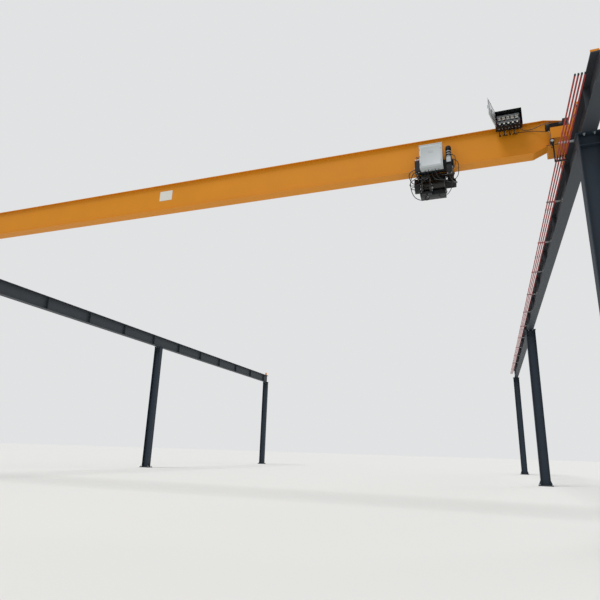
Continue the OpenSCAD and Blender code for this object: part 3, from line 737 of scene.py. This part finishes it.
class CRANE_OT_gland_nuts(bpy.types.Operator):
    """Hexagon nuts round the cable glands"""

    bl_idname = "crane.gland_nuts"
    bl_label = "Gland nuts"

    def nut(self):
        """A gland's nut with its cap, hanging from the origin."""
        body = new_round((0, 0, -0.007), 0.019, 0.014, sides=6)
        edit_faces(body, facing(z=-1), inset(0.003, 0.003))
        cap = new_round((0, 0, -0.02), 0.0145, 0.012, sides=16)
        return join([body, soften(cap, 0.003, 2)])

    def execute(self, context):
        rows = (HOIST_Y - 0.271, HOIST_Y - 0.321)
        box = [(BOX_X + (i - 2) * 0.09, rows[i % 2], 8.61) for i in range(5)]
        plug = [(PLUGS_X + (i - 0.5) * 0.065, rows[i], 8.57) for i in range(2)]
        junction = [(TRAVEL_X + (i - 1) * 0.045, rows[(i + 1) % 2], 8.43) for i in range(3)]
        finished(copies(self.nut(), box + plug + junction), "trolley_gland_nuts", "trolley", "galvanised_steel")
        cabinet = [(CABINET_X + (i - 3) * 0.08, CABINET_Y, 9.47) for i in range(7)]
        finished(copies(self.nut(), cabinet), "cabinet_gland_nuts", "bridge", "galvanised_steel")
        return {"FINISHED"}


class CRANE_OT_cables(bpy.types.Operator):
    """Cables held between the hoist's housings, and between the cabinet, the girder and the drive"""

    bl_idname = "crane.cables"
    bl_label = "Cables"
    # Each runs through listed points, all on the one body that carries both of its ends
    hoist = (
        ((8.405, -16.671, 8.575), (8.405, -16.671, 8.43), (8.30, -16.70, 8.34), (8.18, -16.69, 8.40),
         (8.1825, -16.671, 8.54)),
        ((8.495, -16.721, 8.575), (8.495, -16.721, 8.40), (8.30, -16.70, 8.24), (8.06, -16.62, 8.20),
         (7.99, -16.42, 8.26), (8.02, -16.22, 8.34), (8.08, -16.18, 8.36)),
        ((8.585, -16.671, 8.575), (8.585, -16.671, 8.42), (8.70, -16.70, 8.27), (8.95, -16.70, 8.24),
         (8.985, -16.671, 8.395)),
        ((8.675, -16.721, 8.575), (8.69, -16.72, 8.38), (8.92, -16.66, 8.22), (9.16, -16.52, 8.23),
         (9.21, -16.33, 8.30), (9.08, -16.22, 8.40)),
        ((8.765, -16.671, 8.575), (8.78, -16.68, 8.44), (8.95, -16.74, 8.35), (9.17, -16.76, 8.50),
         (9.21, -16.74, 8.84), (9.14, -16.72, 8.95), (9.09, -16.706, 8.96)),
        ((8.2475, -16.721, 8.54), (8.24, -16.72, 8.42), (8.04, -16.70, 8.34), (7.96, -16.52, 8.31),
         (7.98, -16.30, 8.42), (8.08, -16.20, 8.47)),
        ((9.03, -16.721, 8.395), (9.03, -16.72, 8.28), (9.12, -16.64, 8.20), (9.20, -16.45, 8.24),
         (9.19, -16.28, 8.38), (9.08, -16.22, 8.44)),
        ((9.075, -16.671, 8.395), (9.09, -16.66, 8.22), (9.05, -16.50, 8.05), (8.90, -16.32, 7.98),
         (8.75, -16.18, 8.00), (8.70, -16.15, 8.11)),
        ((8.14, -16.66, 8.60), (8.07, -16.66, 8.58), (7.98, -16.58, 8.30), (8.04, -16.40, 8.03),
         (8.20, -16.23, 7.98), (8.33, -16.16, 8.02), (8.36, -16.15, 8.11)),
        ((8.14, -16.70, 8.66), (8.06, -16.72, 8.64), (7.98, -16.72, 8.54), (7.99, -16.62, 8.44),
         (8.03, -16.45, 8.42), (8.05, -16.28, 8.48), (8.10, -16.20, 8.50)),
        ((9.11, -16.74, 8.80), (9.20, -16.75, 8.78), (9.27, -16.72, 8.66), (9.26, -16.62, 8.56),
         (9.25, -16.40, 8.54), (9.18, -16.24, 8.50), (9.12, -16.20, 8.48)),
    )

    def execute(self, context):
        radii = (0.011, 0.009, 0.010)
        made = [tube(points, radii[i % 3]) for i, points in enumerate(self.hoist)]
        finished(join(made), "hoist_cables", "trolley", "buffer_rubber", "wire_black")
        made, clamps = [], []
        under, web = 9.445, HOIST_Y - 0.115
        for i in range(6):
            x = CABINET_X + (i - 3) * 0.08
            sway = 0.05 * math.sin(2.1 * i)
            made.append(tube([(x, CABINET_Y, under), (x + sway, -16.735, 9.36), (x + sway, -16.70, 9.305),
                              (x + sway * 0.6, -16.63, 9.31), (x + 0.03, web - 0.02, 9.35),
                              (x + 0.03, web + 0.002, 9.42)], radii[i % 3]))
            clamps.append((x + 0.03, web, 9.415))
        x = CABINET_X + 0.24
        made.append(tube([(x, CABINET_Y, under), (x + 0.03, CABINET_Y, 9.33), (x + 0.25, -16.64, 9.33),
                          (x + 0.52, -16.67, 9.42), (x + 0.74, -16.70, 9.45), (x + 0.76, -16.71, 9.36)], 0.009))
        made.append(tube([(x - 0.03, web - 0.01, 9.40), (x + 0.15, web - 0.02, 9.38), (x + 0.38, web - 0.02, 9.36),
                          (x + 0.58, -16.62, 9.22), (11.46, -16.80, 9.18), (11.47, -16.84, 8.84)], 0.008))
        finished(join(made), "cabinet_cables", "bridge", "buffer_rubber", "wire_black")
        clamp = new_round((0, 0, 0.008), 0.012, 0.016, sides=20)
        edit_faces(clamp, facing(z=1), inset(0.003, 0.002))
        finished(copies(clamp, clamps, (0, -1, 0)), "cable_clamps", "bridge", "galvanised_steel")
        return {"FINISHED"}


class CRANE_OT_control_box_trim(bpy.types.Operator):
    """Cover, rim, hinges and locks of the hoist's control box"""

    bl_idname = "crane.control_box_trim"
    bl_label = "Control box trim"

    def execute(self, context):
        low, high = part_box("control_box")
        front = low[1] + 0.008
        left, right, foot, top = 8.29, 8.88, 8.61, 9.27
        panel = new_box((left + 0.02, front - 0.004, foot + 0.02), (right - 0.02, front + 0.002, top - 0.03))
        edit_faces(panel, facing(y=-1), inset(0.012, 0.002), inset(0.02, -0.003))
        finished(soften(panel, 0.0015, 2), "control_box_cover", "trolley", "enclosure_grey")
        hinge = join([new_round((0, 0, 0), 0.007, 0.06, sides=12), box_at((0.012, 0.004, 0), (0.024, 0.004, 0.05))])
        places = [(left + 0.012, front - 0.006, z) for z in (8.72, 8.94, 9.16)]
        lock = new_round((0, 0, 0), 0.014, 0.01, "Y", 20)
        edit_faces(lock, facing(y=-1), inset(0.003, -0.002))
        bar = box_at((0, -0.006, 0), (0.022, 0.006, 0.006))
        locks = copies(join([lock, soften(bar, 0.001, 1)]), [(right - 0.035, front - 0.006, z) for z in (8.76, 9.12)])
        finished(join([copies(hinge, places), locks]), "control_box_locks", "trolley", "galvanised_steel")
        screws = [(x, front - 0.002, z) for x in (left + 0.03, right - 0.03) for z in (foot + 0.03, top - 0.04)]
        finished(copies(bolt(0.011), screws, (0, -1, 0)), "control_box_screws", "trolley", "galvanised_steel")
        label = new_box((8.52, front - 0.0055, 9.02), (8.65, front - 0.003, 9.08))
        edit_faces(label, facing(y=-1), inset(0.004, -0.0005))
        finished(label, "control_box_plate", "trolley", "galvanised_steel")
        return {"FINISHED"}


class CRANE_OT_plugs(bpy.types.Operator):
    """Connector hoods with their levers on the supply box, and the knob at its side"""

    bl_idname = "crane.plugs"
    bl_label = "Plugs"

    def execute(self, context):
        hood = soften(box_at((0, 0, 0.03), (0.052, 0.075, 0.06)), 0.008, 3)
        edit_faces(hood, facing(z=1), inset(0.008, -0.003))
        places = [(PLUGS_X + side * 0.0325, PLUGS_Y, 8.9) for side in (-1, 1)]
        raised = [(x, y, z + 0.002) for x, y, z in places]
        finished(copies(hood, raised), "plug_hoods", "trolley", "galvanised_steel")
        lever = join([soften(box_at((0, side * 0.041, 0.022), (0.02, 0.006, 0.034)), 0.002, 1) for side in (-1, 1)])
        finished(copies(lever, places), "plug_levers", "trolley", "conductor_cover")
        cables = [tube([(x, y, z + 0.05), (x, y, z + 0.13), (x + 0.02, y + 0.04, z + 0.19),
                        (x + 0.05, y + 0.075, z + 0.13), (x + 0.05, HOIST_Y - 0.212, z - 0.02)], 0.008)
                  for x, y, z in places]
        finished(join(cables), "plug_cables", "trolley", "buffer_rubber")
        face = new_box((8.16, HOIST_Y - 0.355, 8.58), (8.27, HOIST_Y - 0.351, 8.89))
        edit_faces(face, facing(y=-1), inset(0.006, 0.002))
        finished(soften(face, 0.001, 1), "supply_box_cover", "trolley", "machine_black")
        knob = new_round((8.144, PLUGS_Y, 8.72), 0.018, 0.012, "X", 20)
        edit_faces(knob, facing(x=-1), inset(0.004, 0.008))
        finished(knob, "supply_box_knob", "trolley", "galvanised_steel")
        return {"FINISHED"}


class CRANE_OT_motor_details(bpy.types.Operator):
    """Fan grilles, bands and bare rating plates of the motors"""

    bl_idname = "crane.motor_details"
    bl_label = "Motor details"

    def grille(self, radius, place, way=(0, 0, 1)):
        """Rings and bars over the fan of a motor."""
        made = []
        for share in (0.3, 0.5, 0.7, 0.88):
            bpy.ops.object.select_all(action="DESELECT")
            bpy.ops.mesh.primitive_torus_add(major_radius=radius * share, minor_radius=0.0022,
                                             major_segments=32, minor_segments=6)
            made.append(settle(bpy.context.object))
        for k in range(4):
            bar = box_at((0, 0, 0), (radius * 1.76, 0.005, 0.004))
            bar.matrix_world = Matrix.Rotation(k * math.pi / 4, 4, "Z")
            made.append(settle(bar))
        return copies(join(made), [place], way)

    def execute(self, context):
        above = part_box("travel_motor")[1][2] + 0.002
        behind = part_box("hoist_motor")[1][0] + 0.002
        grilles = [self.grille(0.056, (TRAVEL_X, TRAVEL_Y, above)),
                   self.grille(0.09, (behind, DRUM_Y, DRUM_Z), (1, 0, 0))]
        finished(join(grilles), "hoist_fan_grilles", "trolley", "machine_black")
        plate = new_box((8.975, HOIST_Y - 0.405, 8.70), (9.085, HOIST_Y - 0.401, 8.86))
        edit_faces(plate, facing(y=-1), inset(0.008, 0.002))
        corners = [(x, HOIST_Y - 0.406, z) for x in (8.985, 9.075) for z in (8.71, 8.85)]
        screws = copies(bolt(0.01), corners, (0, -1, 0))
        bands = [soften(new_round((TRAVEL_X, TRAVEL_Y, z), 0.0765, 0.02, sides=40), 0.002, 1)
                 for z in (8.9, 8.97, 9.04)]
        finished(join([plate, screws] + bands), "travel_gear_cover", "trolley", "galvanised_steel")
        reach = abs(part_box("drive_motors")[0][0]) - 0.362
        drives = [self.grille(0.075, (-way * reach, DRIVE_Y, DRIVE_Z), (way, 0, 0)) for way in (1, -1)]
        finished(join(drives), "drive_fan_grilles", "bridge", "machine_black")
        return {"FINISHED"}


class CRANE_OT_block_details(bpy.types.Operator):
    """Pin nuts and spacer bolts of the hook block, the hook's nut and its safety latch"""

    bl_idname = "crane.block_details"
    bl_label = "Hook block details"

    def execute(self, context):
        size = context.scene.crane_hoist
        x = sum(size.falls) / 2
        y = (size.far_y + size.near_y) / 2
        angles = (math.pi / 4, 3 * math.pi / 4, -0.2 - math.pi / 2)
        spots = [(0.095 * math.cos(a), 0.095 * math.sin(a)) for a in angles]
        made = []
        for way in (-1, 1):
            face = x + way * 0.136
            made.append(copies(bolt(0.02), [(face, y + a, size.block_z + b) for a, b in spots], (way, 0, 0)))
            made.append(copies(stud_nut(0.04, 0.03), [(face, y, size.block_z)], (way, 0, 0)))
            keeper = box_at((face + way * 0.002, y, size.block_z - 0.045), (0.005, 0.06, 0.022))
            made.append(soften(keeper, 0.0015, 1))
        finished(join(made), "hook_block_bolts", "block", "galvanised_steel")
        pivot = (x - 0.002, y, 8.0)
        strap = new_box((-0.0015, -0.007, 0), (0.0015, 0.007, 0.062))
        edit_faces(strap, facing(x=1), inset(0.002, 0.001))
        strap.matrix_world = Matrix.Translation(pivot) @ upright((0.8, 0, -0.6))
        pin = new_round(pivot, 0.005, 0.044, "Y", 12)
        finished(join([soften(pin, 0.001, 1), settle(strap)]), "hook_latch", "hook", "galvanised_steel")
        self.hook(x, y)
        return {"FINISHED"}

    def hook(self, x, y):
        """Forged hook, thickest at the saddle and thin at the tip, with its neck, collar and nut."""
        saddle, bend, shank = 7.943, 0.0485, 0.017
        arc = [math.radians(a) for a in range(110, 351, 20)]
        path = [(x, y, 8.125), (x, y, 8.03), (x, y, saddle + 0.058)]
        path += [(x + bend * math.cos(a), y, saddle + bend * math.sin(a)) for a in arc]
        path += [(x + 0.052, y, saddle + 0.006), (x + 0.06, y, saddle + 0.024)]
        shares = [1, 1, 1.02, 1.08, 1.14, 1.2, 1.26, 1.32, 1.36, 1.38, 1.38, 1.36, 1.3, 1.2, 1.08, 0.94, 0.72, 0.42]
        body = tube(path, shank - 0.0002, 24, shares)
        nut = new_round((x, y, 8.1203), 0.034, 0.02, sides=6)
        edit_faces(nut, facing(z=1), inset(0.004, 0.002))
        collar = new_round((x, y, 8.034), 0.025, 0.014, sides=32)
        hook = join([body, soften(nut, 0.0015, 2), soften(collar, 0.003, 3)])
        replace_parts(finished(hook, "forged_hook", "hook", "hook_steel"), "lifting_hook")


class CRANE_OT_cabinet_devices(bpy.types.Operator):
    """Fronts of the switchgear, lids of the wiring ducts, and the wires in the cabinet"""

    bl_idname = "crane.cabinet_devices"
    bl_label = "Cabinet devices"

    def across(self, count):
        """Places side by side on the five blocks of a row, count to a block."""
        return [CABINET_X - 0.215 + i * 0.105 + (k + 0.5 - count / 2) * 0.07 / count
                for i in range(5) for k in range(count)]

    def execute(self, context):
        front, upper, lower = -16.694, 9.73, 9.54
        breaker = soften(box_at((0, -0.003, 0.045), (0.0165, 0.012, 0.088)), 0.001, 1)
        edit_faces(breaker, facing(y=-1), inset(0.003, 0.003))
        places = [(x, front, upper) for x in self.across(4)]
        finished(copies(breaker, places), "breaker_fronts", "bridge", "enclosure_grey", "moulded_white")
        for name, spots, slot in (("red", places[:7], "conductor_cover"), ("black", places[7:], "machine_black")):
            toggle = soften(box_at((0, -0.014, 0.045), (0.008, 0.014, 0.016)), 0.001, 1)
            finished(copies(toggle, spots), f"breaker_toggles_{name}", "bridge", slot)
        drives = [(x, front, lower) for x in self.across(1)]
        drive = soften(box_at((0, -0.022, 0.045), (0.072, 0.05, 0.096)), 0.003, 2)
        edit_faces(drive, facing(y=-1), inset(0.006, 0.003), inset(0.01, -0.002))
        finished(copies(drive, drives), "drive_unit_fronts", "bridge", "machine_black")
        keypad = soften(box_at((0, -0.051, 0.052), (0.04, 0.01, 0.046)), 0.002, 1)
        edit_faces(keypad, facing(y=-1), inset(0.006, -0.001))
        finished(copies(keypad, drives), "drive_unit_keypads", "bridge", "enclosure_grey", "moulded_white")
        lids = []
        for z, height in ((9.519, 0.03), (9.683, 0.05), (9.86, 0.06)):
            lid = box_at((CABINET_X, front + 0.022, z), (0.54, 0.004, height))
            edit_faces(lid, facing(y=-1), inset(0.003, 0.001))
            teeth = box_at((0, 0.052, 0), (0.004, 0.058, height + 0.004))
            edit_faces(teeth, facing(z=1), inset(0.001, 0.001))
            comb = [(CABINET_X + (i - 22) * 0.012, front, z) for i in range(45)]
            lids += [lid, copies(teeth, comb)]
        finished(join(lids), "duct_lids", "bridge", "enclosure_grey", "moulded_grey")
        self.wires(front, places, drives)
        return {"FINISHED"}

    def wires(self, front, breakers, drives):
        """Short wires above and below the devices, and two bundles at the sides."""
        sets = {"black": [], "red": [], "blue": []}
        order = list(sets)
        for row, up, bow, gap in ((breakers, 0.001, 0.012, 0.0), (breakers, 0.089, 0.012, 0.0),
                                  (drives, 0.093, 0.02, 0.02), (drives, -0.001, 0.02, 0.02)):
            rise = 0.022 if up > 0.05 else -0.022
            for n, (x, y, z) in enumerate(row):
                for k in (-1, 0, 1) if gap else (0,):
                    start = (x + k * gap, y + 0.006, z + up)
                    end = (x + k * gap * 0.7 + 0.004, y + 0.03, z + up + rise)
                    middle = (start[0], y - bow, z + up + rise * 0.6)
                    sets[order[(n + k) % 3]].append(tube([start, middle, end], 0.0022, 6))
        z_low, z_high = 9.53, 9.88
        for x in (CABINET_X - 0.283, CABINET_X + 0.283):
            for k in range(6):
                sets[order[k % 3]].append(tube([(x + 0.004 * (k - 2), front + 0.05, z_low + 0.01 * k),
                                                (x + 0.005 * (k - 2), front + 0.02, (z_low + z_high) / 2),
                                                (x + 0.004 * (3 - k), front + 0.05, z_high - 0.01 * k)], 0.003, 6))
        for tint, slot in (("black", "buffer_rubber"), ("red", "conductor_cover"), ("blue", "column_paint")):
            finished(join(sets[tint]), f"cabinet_wires_{tint}", "bridge", slot, f"wire_{tint}")


class CRANE_OT_cabinet_door_trim(bpy.types.Operator):
    """Seal, papers pocket and lock rod on the inner side of the cabinet's door, and its handle"""

    bl_idname = "crane.cabinet_door_trim"
    bl_label = "Cabinet door trim"

    hinge, rest_turn = (10.24, -16.84, 0), math.radians(-105)

    def hung(self, shape):
        """Turns a piece that was made on the closed door to where the door stands at rest."""
        shape.matrix_world = Matrix.Translation(self.hinge) @ Matrix.Rotation(self.rest_turn, 4, "Z")
        return settle(shape)

    def execute(self, context):
        low, high, near, far, face, middle = 9.5, 9.9, 0.05, 0.615, 0.0095, 9.7
        proud = face + 0.0035
        bars = (((near, face, low), (far, proud, low + 0.01)), ((near, face, high - 0.01), (far, proud, high)),
                ((near, face, low), (near + 0.01, proud, high)), ((far - 0.01, face, low), (far, proud, high)))
        seal = join([soften(new_box(*ends), 0.001, 1) for ends in bars])
        finished(self.hung(seal), "door_seal", "door", "buffer_rubber")
        pocket = new_box((0.16, face, 9.53), (0.44, face + 0.022, 9.72))
        edit_faces(pocket, facing(z=1), inset(0.003, -0.17))
        finished(self.hung(soften(pocket, 0.001, 1)), "door_pocket", "door", "enclosure_grey", "moulded_grey")
        rod = join([new_round((0.58, face + 0.008, middle), 0.004, 0.38, sides=12),
                    box_at((0.58, face + 0.006, middle), (0.024, 0.012, 0.08)),
                    box_at((0.58, face + 0.005, 9.54), (0.014, 0.014, 0.012)),
                    box_at((0.58, face + 0.005, 9.86), (0.014, 0.014, 0.012))])
        finished(self.hung(soften(rod, 0.001, 1)), "door_lock_rod", "door", "galvanised_steel")
        handle = soften(box_at((0.605, -0.017, middle), (0.014, 0.014, 0.1)), 0.003, 2)
        edit_faces(handle, facing(y=-1), inset(0.002, 0.001))
        finished(self.hung(handle), "door_handle", "door", "machine_black")
        rib = soften(box_at((0, -0.0115, middle), (0.02, 0.004, 0.34)), 0.0015, 2)
        finished(self.hung(copies(rib, [(0.08, 0, 0), (0.54, 0, 0)])), "door_ribs", "door", "enclosure_grey")
        return {"FINISHED"}


class CRANE_OT_girder_details(bpy.types.Operator):
    """Weld beads between webs and flanges, the bare white plate, and rollers of the limit switch"""

    bl_idname = "crane.girder_details"
    bl_label = "Girder details"

    def execute(self, context):
        reach, web, under, over = 11.0, 0.115, 8.718, 9.582
        beads = []
        for side in (-1, 1):
            for z in (under, over):
                bead = new_round((0, HOIST_Y + side * web, z), 0.006, 2 * reach, "X", 8)
                beads.append(edit_faces(bead, facing(y=side), inset(0.001, 0.0005)))
        finished(join(beads), "girder_welds", "bridge", "crane_paint")
        front = HOIST_Y - web
        plate = box_at((0.10, front - 0.0015, 9.22), (0.47, 0.003, 0.34))
        edit_faces(plate, facing(y=-1), inset(0.01, 0.001))
        finished(plate, "girder_plate", "bridge", "enclosure_grey", "moulded_white")
        self.limit_switch(11.48, -16.84)
        return {"FINISHED"}

    def limit_switch(self, x, y):
        """The four rollers on the arms of the limit switch, and the round cover of its housing."""
        arm, rollers = 0.122, []
        for along, dx, dy in (("X", -arm, 0), ("X", arm, 0), ("Y", 0, -arm), ("Y", 0, arm)):
            rollers.append(soften(new_round((x + dx, y + dy, 8.70), 0.016, 0.014, along, 20), 0.003, 2))
        finished(join(rollers), "limit_switch_rollers", "bridge", "machine_black")
        face, z = y - 0.042, 8.795
        cover = new_round((x, face, z), 0.036, 0.004, "Y", 28)
        edit_faces(cover, facing(y=-1), inset(0.006, 0.002))
        screws = copies(bolt(0.007), circle((x, face - 0.004, z), 0.027, 4, along="Y"), (0, -1, 0))
        finished(join([cover, screws]), "limit_switch_cover", "bridge", "galvanised_steel")


class CRANE_OT_stage(bpy.types.Operator):
    """Adds the floor, the light and the camera"""

    bl_idname = "crane.stage"
    bl_label = "Floor, light and camera"

    def execute(self, context):
        bpy.ops.object.select_all(action="DESELECT")
        bpy.ops.mesh.primitive_plane_add(size=900, location=(0, 0, -2 * MM))
        floor = context.object
        floor.name = "floor"
        floor.data.materials.append(polymer("Pale floor", linear("#D9D9D6"), 0.8, 6000, 0.01))

        world = bpy.data.worlds.new("Soft daylight")
        context.scene.world = world
        world.use_nodes = True
        tree = world.node_tree
        tree.nodes.clear()
        path = add_node(tree, "ShaderNodeLightPath")
        strength = add_node(tree, "ShaderNodeMapRange",
                            {"Value": path.outputs["Is Camera Ray"], "To Min": 0.6, "To Max": 0.85})
        sky = add_node(tree, "ShaderNodeBackground",
                       {"Color": rgba(linear("#F2F3F4")), "Strength": strength.outputs["Result"]})
        add_node(tree, "ShaderNodeOutputWorld", {"Surface": sky.outputs["Background"]})

        for name, turn, power in (("key", (24, 0, -35), 1.9), ("fill", (50, 0, 150), 0.4)):
            bpy.ops.object.light_add(type="SUN", rotation=[math.radians(a) for a in turn])
            context.object.name = name
            context.object.data.energy = power
            context.object.data.angle = math.radians(25)

        view = context.scene.crane_camera
        data = bpy.data.cameras.new("camera")
        data.lens = view.lens
        data.clip_start = 0.1
        data.clip_end = 2000
        camera = bpy.data.objects.new("camera", data)
        context.scene.collection.objects.link(camera)
        look = Vector((-math.sin(view.yaw) * math.cos(view.pitch), math.cos(view.yaw) * math.cos(view.pitch),
                       math.sin(view.pitch)))
        right = Vector((math.cos(view.yaw), math.sin(view.yaw), 0))
        up = right.cross(look)
        leant_right = math.cos(view.roll) * right + math.sin(view.roll) * up
        leant_up = -math.sin(view.roll) * right + math.cos(view.roll) * up
        turn = Matrix((leant_right, leant_up, -look)).transposed()
        camera.matrix_world = Matrix.Translation(view.place) @ turn.to_4x4()
        context.scene.camera = camera
        context.scene.view_settings.view_transform = "Standard"
        return {"FINISHED"}


class CRANE_PT_panel(bpy.types.Panel):
    """Lists the crane's operators and settings"""

    bl_label = "Overhead bridge crane"
    bl_idname = "CRANE_PT_panel"
    bl_space_type = "VIEW_3D"
    bl_region_type = "UI"
    bl_category = "Crane"

    def draw(self, context):
        for kind in OPERATORS:
            self.layout.operator(kind.bl_idname)
        for place in GROUPS:
            group = getattr(context.scene, place)
            for name in group.bl_rna.properties.keys():
                if name not in ("rna_type", "name"):
                    self.layout.prop(group, name)


OPERATORS = (CRANE_OT_finishes, CRANE_OT_stage, CRANE_OT_rope_falls, CRANE_OT_rope_turns, CRANE_OT_drum_rope,
             CRANE_OT_runway_bolts, CRANE_OT_rail_clips, CRANE_OT_conductor_fittings, CRANE_OT_bridge_bolts,
             CRANE_OT_trolley_bolts, CRANE_OT_gland_nuts, CRANE_OT_cables, CRANE_OT_control_box_trim, CRANE_OT_plugs,
             CRANE_OT_motor_details, CRANE_OT_block_details, CRANE_OT_cabinet_devices,
             CRANE_OT_cabinet_door_trim, CRANE_OT_girder_details)
# Groups of settings by their name on the scene
GROUPS = {"crane_paint": CranePaint, "crane_camera": CraneCamera, "crane_runway": CraneRunway,
          "crane_hoist": CraneHoist}
CLASSES = (*GROUPS.values(), *OPERATORS, CRANE_PT_panel)


def register():
    for kind in CLASSES:
        bpy.utils.register_class(kind)
    for place, kind in GROUPS.items():
        setattr(bpy.types.Scene, place, PointerProperty(type=kind))


def unregister():
    for place in GROUPS:
        delattr(bpy.types.Scene, place)
    for kind in reversed(CLASSES):
        bpy.utils.unregister_class(kind)


def main():
    register()
    bpy.ops.crane.finishes()
    bpy.ops.crane.stage()
    bpy.ops.crane.rope_falls()
    bpy.ops.crane.rope_turns()
    bpy.ops.crane.drum_rope()
    bpy.ops.crane.runway_bolts()
    bpy.ops.crane.rail_clips()
    bpy.ops.crane.conductor_fittings()
    bpy.ops.crane.bridge_bolts()
    bpy.ops.crane.trolley_bolts()
    bpy.ops.crane.gland_nuts()
    bpy.ops.crane.cables()
    bpy.ops.crane.control_box_trim()
    bpy.ops.crane.plugs()
    bpy.ops.crane.motor_details()
    bpy.ops.crane.block_details()
    bpy.ops.crane.cabinet_devices()
    bpy.ops.crane.cabinet_door_trim()
    bpy.ops.crane.girder_details()


if __name__ == "__main__":
    main()
